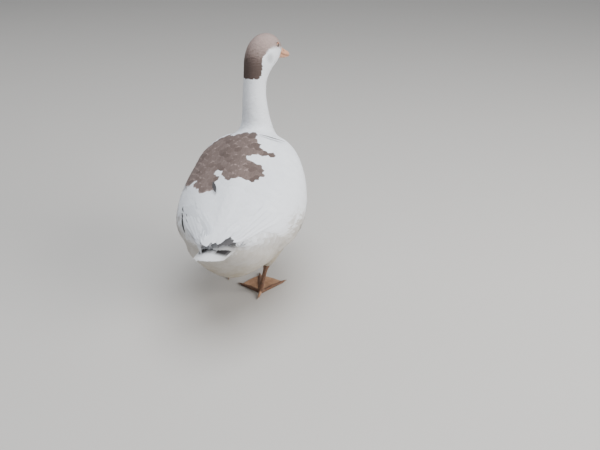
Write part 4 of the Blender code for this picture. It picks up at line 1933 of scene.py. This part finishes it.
@dataclass
class Bill:
    """The closed bill, with nostrils, a pale nail and toothed edges."""

    nodes: Nodes
    head: HeadFrame
    droop: float = math.radians(17)
    rows: int = 48
    around: int = 40
    nostril: tuple = (0.40, 0.52)  # share of the length, and of the height
    nostril_size: tuple = (0.075, 0.16)
    nostril_depth: float = 0.24  # as a share of the half width
    nail_from: float = 0.84
    nail_rise: float = 0.0062
    teeth: int = 26
    tooth: float = 0.03  # how far one stands out, as a share of the half width
    sag: float = 0.0022  # how far its middle hangs
    behind: float = 0.004  # how far it reaches into the face

    def build(self, finish: Material) -> list[Piece]:
        """Makes both halves.

        Args:
            finish: the horn's finish.

        Returns:
            Both pieces.
        """
        ahead = self.head.forward * math.cos(self.droop) - UP * math.sin(self.droop)
        upward = self.head.forward * math.sin(self.droop) + UP * math.cos(self.droop)
        made = []
        for name, sign in (("bill_upper", 1), ("bill_lower", -1)):
            places = vertices_of(self.nodes[name]) - self.head.middle
            u, v, w = places @ ahead, places @ upward, places @ self.head.left
            root = u < u.min() + 0.0015
            mouth = v[root].min() if sign > 0 else v[root].max()
            size = (u.max() - u.min(), abs(v[root] - mouth).max(), np.abs(w).max())
            points, tip, hollow = self.half(sign, size)
            start = self.head.middle + ahead * (u.min() - self.behind) + upward * mouth
            world = (
                start + points[..., 0:1] * ahead + points[..., 1:2] * self.head.left
                + points[..., 2:3] * upward
            )
            piece = object_of(
                f"{name}_horn", world.reshape(-1, 3), grid_faces(1, self.rows, self.around, True),
                finish, {"tip": tip.ravel(), "hollow": hollow.ravel()},
            )
            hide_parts(name)
            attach(piece, "root")
            made.append(piece)
        return made

    def half(self, sign: int, size: tuple) -> tuple[Array, Array, Array]:
        """One half in its own directions.

        Args:
            sign: 1 for the upper half, -1 for the lower.
            size: its length, height at the root and half width.

        Returns:
            Its points as distances ahead, left and up, how much each is nail, and how much painted shade
            each takes in the nostril and along the mouth.
        """
        length, high, wide = size
        t = np.linspace(0, 1, self.rows)[:, None] ** 0.9
        angle = full_turn(self.around)[None]
        width = wide * (1 - 0.36 * t) * np.sqrt(np.maximum(1 - 0.86 * ease(0.72, 1.06, t) ** 2, 0))
        if sign > 0:
            nail = self.nail_rise * ease(0, 0.9, t) * np.sqrt(np.maximum(0.02, 1 - ease(0.86, 1.02, t)))
            height = high * (1 - 0.97 * t**0.82) + nail
        else:
            height = high * (1 - 0.62 * t) * np.sqrt(np.maximum(0.03, 1 - ease(0.70, 1.0, t)))
        side, rise = np.cos(angle), np.sin(angle)
        upper = np.sign(rise) > 0
        arch = np.where(upper, np.abs(rise) ** 0.85 * height, -np.abs(rise) * 0.0002)
        across = np.sign(side) * np.abs(side) ** 0.9 * width
        closing = np.sqrt(np.clip(1 - ((t - 0.93) / 0.07) ** 2, 0, 1)) * (t > 0.93) + (t <= 0.93)
        across = across * np.maximum(closing, 0.05)
        arch = arch * np.maximum(closing, 0.25)
        along = np.broadcast_to(t * (length + self.behind), arch.shape)
        pit = np.zeros(arch.shape)
        if sign > 0:
            (at, height_at), (long, tall) = self.nostril, self.nostril_size
            away = (t - at) / long, (np.abs(rise) - height_at) / tall
            pit = np.exp(-(away[0] ** 2) - away[1] ** 2) * upper
            across = across * (1 - self.nostril_depth * pit)
        teeth = self.tooth * np.sin(t * 2 * math.pi * self.teeth) * (np.abs(rise) < 0.35) * (t < 0.8)
        across = across * (1 + teeth)
        sag = self.sag * np.sin(math.pi * t)
        above = ease(0.1, 0.5, np.broadcast_to(rise, arch.shape))
        tip = ease(self.nail_from, self.nail_from + 0.03, t) * above
        mouth = ease(0.16, 0.02, np.abs(rise)) * ease(0.90, 0.80, t)
        # Painted shade in the nostril's pit and along the mouth between the halves.
        hollow = np.clip(0.9 * ease(0.55, 0.9, pit) + 0.55 * mouth, 0, 1)
        return np.stack([along, across, sign * arch - sag], -1), tip, hollow


# ---- legs
@dataclass
class Foot:
    """One bare shank with its webbed foot and claws."""

    nodes: Nodes
    side: Side
    voxel: float = 0.0011
    smoothing: int = 5
    scute: float = 0.0042  # length of the plates across toes and shank
    relief: tuple = (0.00035, 0.0003)  # how high they stand on the shank and on the toes
    claw_rings: int = 10
    claw_sides: int = 12

    def build(self, scales: Material, horn: Material) -> list[Piece]:
        """Makes the leg and its claws.

        Args:
            scales: the finish of the bare skin.
            horn: the finish of the claws.

        Returns:
            The pieces.
        """
        word = self.side.word
        sources = [self.nodes[f"shank_{word}"], self.nodes[f"foot_{word}"]]
        surface = Surface(*remeshed(f"leg_{word}", sources, self.voxel))
        surface.points = surface.spread(surface.points, self.smoothing)
        normals = surface.corner_normals()
        plates, web = self.plates(surface.points, normals)
        surface.points = surface.points + normals * plates[:, None]
        surface.points[:, 2] = np.maximum(surface.points[:, 2], 0)
        leg = object_of(f"leg_{word}_skin", surface.points, surface.triangles, scales, {"web": web})
        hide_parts(f"shank_{word}", f"foot_{word}")
        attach(leg, "root")
        return [leg, *(self.claw(number, horn) for number in range(1, 5))]

    def ridge(self, along: Array) -> Array:
        """How far the scutes bulge at distances along a toe or shank, as a share."""
        return np.abs(np.sin(math.pi * along / self.scute)) ** 0.5 - 0.7

    def plates(self, places: Array, normals: Array) -> tuple[Array, Array]:
        """How far the scutes stand out at each point, and how much it is web.

        Args:
            places: the skin's points.
            normals: their normals.

        Returns:
            How far the plates stand out, and how much each point is web.
        """
        shank = vertices_of(self.nodes[f"shank_{self.side.word}"])
        ends = shank[:, 2].max(), shank[:, 2].min()
        top, bottom = (shank[np.abs(shank[:, 2] - end) < 0.004].mean(0) for end in ends)
        line = unit(bottom - top)
        along = (places - top) @ line
        on_shank = ease(bottom[2] - 0.002, bottom[2] + 0.008, places[:, 2])
        stand = self.relief[0] * on_shank * self.ridge(along)
        nearest = np.full(len(places), np.inf)
        for number in range(1, 4):
            claw = vertices_of(self.nodes[f"claw_{self.side.word}_{number}"]).mean(0)
            toe = unit((claw - bottom) * np.array([1, 1, 0]))
            away = places - bottom
            reach = away @ toe
            off = np.linalg.norm((away - reach[:, None] * toe)[:, :2], axis=1)
            nearest = np.minimum(nearest, np.where(reach > -0.005, off, np.inf))
            on_toe = ease(0.0055, 0.003, off) * ease(0.0, 0.01, reach) * (1 - on_shank)
            on_toe = on_toe * (normals[:, 2] > 0.2)
            stand = stand + self.relief[1] * on_toe * self.ridge(reach)
        web = ease(0.0045, 0.0075, nearest) * (1 - on_shank)
        return stand, web

    def claw(self, number: int, horn: Material) -> Piece:
        """One claw, a blunt cone that bends down, where its solid is.

        Args:
            number: which claw, from 1.
            horn: its finish.

        Returns:
            The piece.
        """
        name = f"claw_{self.side.word}_{number}"
        places = vertices_of(self.nodes[name])
        foot = vertices_of(self.nodes[f"foot_{self.side.word}"])
        ankle = foot[foot[:, 2] > foot[:, 2].max() - 0.002].mean(0)
        away = np.linalg.norm((places - ankle)[:, :2], axis=1)
        root, tip = places[away < away.min() + 0.001].mean(0), places[away > away.max() - 0.001].mean(0)
        line = tip - root
        t = np.linspace(0, 1, self.claw_rings)[:, None, None]
        turn = full_turn(self.claw_sides)[None, :, None]
        radius = (places[:, 2].max() - places[:, 2].min()) * 0.42 * np.sqrt(np.maximum(1 - t**1.6, 0.01))
        side = unit(np.cross(line, UP))
        bend = -UP * 0.0006 * t**2
        points = root - line * 0.15 + line * 1.13 * t + bend
        points = points + side * np.cos(turn) * radius * 0.85
        points = points + np.cross(side, unit(line)) * np.sin(turn) * radius
        made = object_of(
            f"{name}_horn", points.reshape(-1, 3),
            grid_faces(1, self.claw_rings, self.claw_sides, True), horn,
            {"tip": np.broadcast_to(t[..., 0], (self.claw_rings, self.claw_sides)).ravel()},
        )
        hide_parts(name)
        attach(made, "root")
        return made


# ---- the studio
@dataclass(frozen=True)
class Lamp:
    """A soft area light that points at a place."""

    name: str
    place: tuple
    aim: tuple
    size: float  # length of its sides
    power: float  # watts
    colour: tuple

    def build(self) -> None:
        """Puts it in the scene."""
        data = bpy.data.lights.new(self.name, "AREA")
        data.size, data.energy, data.color = self.size, self.power, self.colour
        lamp = bpy.data.objects.new(self.name, data)
        lamp.location = self.place
        ray = Vector(self.aim) - Vector(self.place)
        lamp.rotation_euler = ray.to_track_quat("-Z", "Y").to_euler()
        bpy.context.scene.collection.objects.link(lamp)


@dataclass
class Studio:
    """The floor, the lights and the camera."""

    eye: tuple = (-0.365, 1.596, 0.950)
    yaw: float = math.radians(8.5)
    pitch: float = math.radians(25.8)
    lens: float = 48.0
    floor_size: float = 14.0
    floor_tones: tuple = ((0.54, 0.52, 0.495), (0.48, 0.46, 0.435))
    lamps: tuple = (
        Lamp("overhead", (-0.4, 0.4, 3.2), (0, 0, 0), 2.6, 124, (0.94, 0.97, 1.0)),
        Lamp("key", (-3.0, 1.0, 1.5), (0, 0, 0.3), 2.0, 132, (1.0, 0.98, 0.95)),
        Lamp("fill", (2.8, -1.6, 2.0), (0, 0, 0.2), 2.0, 10, (1.0, 1.0, 1.0)),
    )
    air: tuple = (0.86, 0.89, 0.93, 1)
    air_strength: float = 0.42

    def build(self) -> None:
        """Sets them up."""
        self.floor()
        for lamp in self.lamps:
            lamp.build()
        world = bpy.data.worlds.new("studio_air")
        world.use_nodes = True
        background = world.node_tree.nodes["Background"]
        background.inputs[0].default_value = self.air
        background.inputs[1].default_value = self.air_strength
        bpy.context.scene.world = world
        self.camera()

    def floor(self) -> None:
        """A plain pale floor."""
        half = self.floor_size / 2
        corners = ((-1, -1, 0), (1, -1, 0), (1, 1, 0), (-1, 1, 0))
        points = np.array(corners) * half
        graph = Graph("studio_floor")
        cloud = graph.noise(3.0, 3.0)
        colour = graph.mix(cloud * 0.2, *self.floor_tones)
        material = graph.finish(colour, 0.75 + cloud * 0.1, cloud, 0.0001)
        object_of("floor", points, np.array([[0, 1, 2, 3]]), material)

    def camera(self) -> None:
        """The camera, level across, above and behind the goose."""
        data = bpy.data.cameras.new("camera")
        data.lens, data.sensor_width = self.lens, 36.0
        made = bpy.data.objects.new("camera", data)
        made.location = self.eye
        level = math.cos(self.pitch)
        look = Vector((math.sin(self.yaw) * level, -math.cos(self.yaw) * level, -math.sin(self.pitch)))
        made.rotation_euler = look.to_track_quat("-Z", "Y").to_euler()
        bpy.context.scene.collection.objects.link(made)
        bpy.context.scene.camera = made


# ---- the whole goose
@dataclass(frozen=True)
class Cover:
    """Where large feathers hide the skin, so that no small ones need to grow."""

    saddle_margins: tuple = (6, 0.02, 0.01)  # degrees at the scapulars' sides, y before and behind
    wing_margins: tuple = (4, 7, 0.014)  # degrees at a wing's upper and lower edge, y in front
    shares: tuple = (0.36, 1.0)  # places across the wing between which its cover gets shorter
    short_of_tip: float = 0.034  # how far before the wing's tip the cover ends at the first
    low_end: float = 0.070  # y where it ends at the second
    tail_from: float = 0.205  # y from which the tail's fan covers what lies higher than its solid

    def faces(self, hide: Hide, wings: list[WingMap], saddle: Saddle) -> Array:
        """Looks for the triangles that are hidden.

        Args:
            hide: the skin.
            wings: the wings' edges.
            saddle: the scapulars.

        Returns:
            For each of the skin's triangles, whether it is hidden.
        """
        middles = hide.surface.points[hide.surface.triangles].mean(1)
        back = middles[:, 1]
        turn = np.degrees(np.arctan2(middles[:, 0], middles[:, 2] - spine(back)))
        aside, before, behind = self.saddle_margins
        hidden = (back > saddle.first + before) & (back < saddle.last + behind)
        hidden &= np.abs(turn) < saddle.reach - aside
        above, below, front = self.wing_margins
        for wing in wings:
            own = turn * wing.side.value
            top, low = wing.edges(back)
            inside = (own > top + above) & (own < low - below)
            share = (own - top) / (low - top)
            end = np.interp(share, self.shares, (wing.tip - self.short_of_tip, self.low_end))
            hidden |= inside & (back > wing.front + front) & (back < end)
        hidden |= (back > self.tail_from) & (middles[:, 2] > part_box("tail")[1].z)
        return hidden & (middles[:, 2] < TRUNK_TOP)


def report(pieces: list[Piece]) -> None:
    """Reports each piece and its number of faces."""
    for piece in pieces:
        LOG.info("%s: %d faces", piece.name, len(piece.data.polygons))


def main() -> None:
    """Builds the goose's looks over the frame, piece by piece."""
    logging.basicConfig(level=logging.INFO, format="%(message)s")
    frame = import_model()
    nodes: Nodes = frame["nodes"]
    rng = np.random.default_rng(12)
    head = HeadFrame.of(nodes)
    guides = Guides(nodes)
    markings = Markings(head, guides)
    plumes = PlumageFinish().material()
    hide = Hide(nodes, guides, head)
    report([hide.build(plumes, markings)])
    plumage = Plumage(hide, markings, plumes, rng)
    wings = [WingMap(nodes[f"wing_{side.word}"], side) for side in Side]
    wrap = Wrap(hide, nodes["tail"])
    saddle = Saddle(plumage, wrap)
    eyes = [vertices_of(nodes[f"eye_{side.word}"]).mean(0) for side in Side]
    report(BodyCoat(plumage, head, eyes).build(Cover().faces(hide, wings, saddle)))
    for wing in wings:
        report(FlightFeathers(plumage, wrap, wing).build())
    report([saddle.build()])
    report(Rump(plumage, wrap).build())
    report(Tail(plumage).build())
    glass, lids = EyeFinish().material(), LidFinish().material()
    for side in Side:
        report(Eye(nodes[f"eye_{side.word}"], side, head).build(glass, lids))
    horn = HornFinish("bill_finish", (0.60, 0.32, 0.20), (0.70, 0.58, 0.48), (0.42, 0.20, 0.13))
    report(Bill(nodes, head).build(horn.material()))
    claws = HornFinish("claw_finish", (0.20, 0.13, 0.09), (0.36, 0.27, 0.20), (0.08, 0.05, 0.04))
    claw_material = claws.material()
    scales = ScaleFinish("leg_finish").material()
    for side in Side:
        report(Foot(nodes, side).build(scales, claw_material))
    Studio().build()


if __name__ == "__main__":
    main()
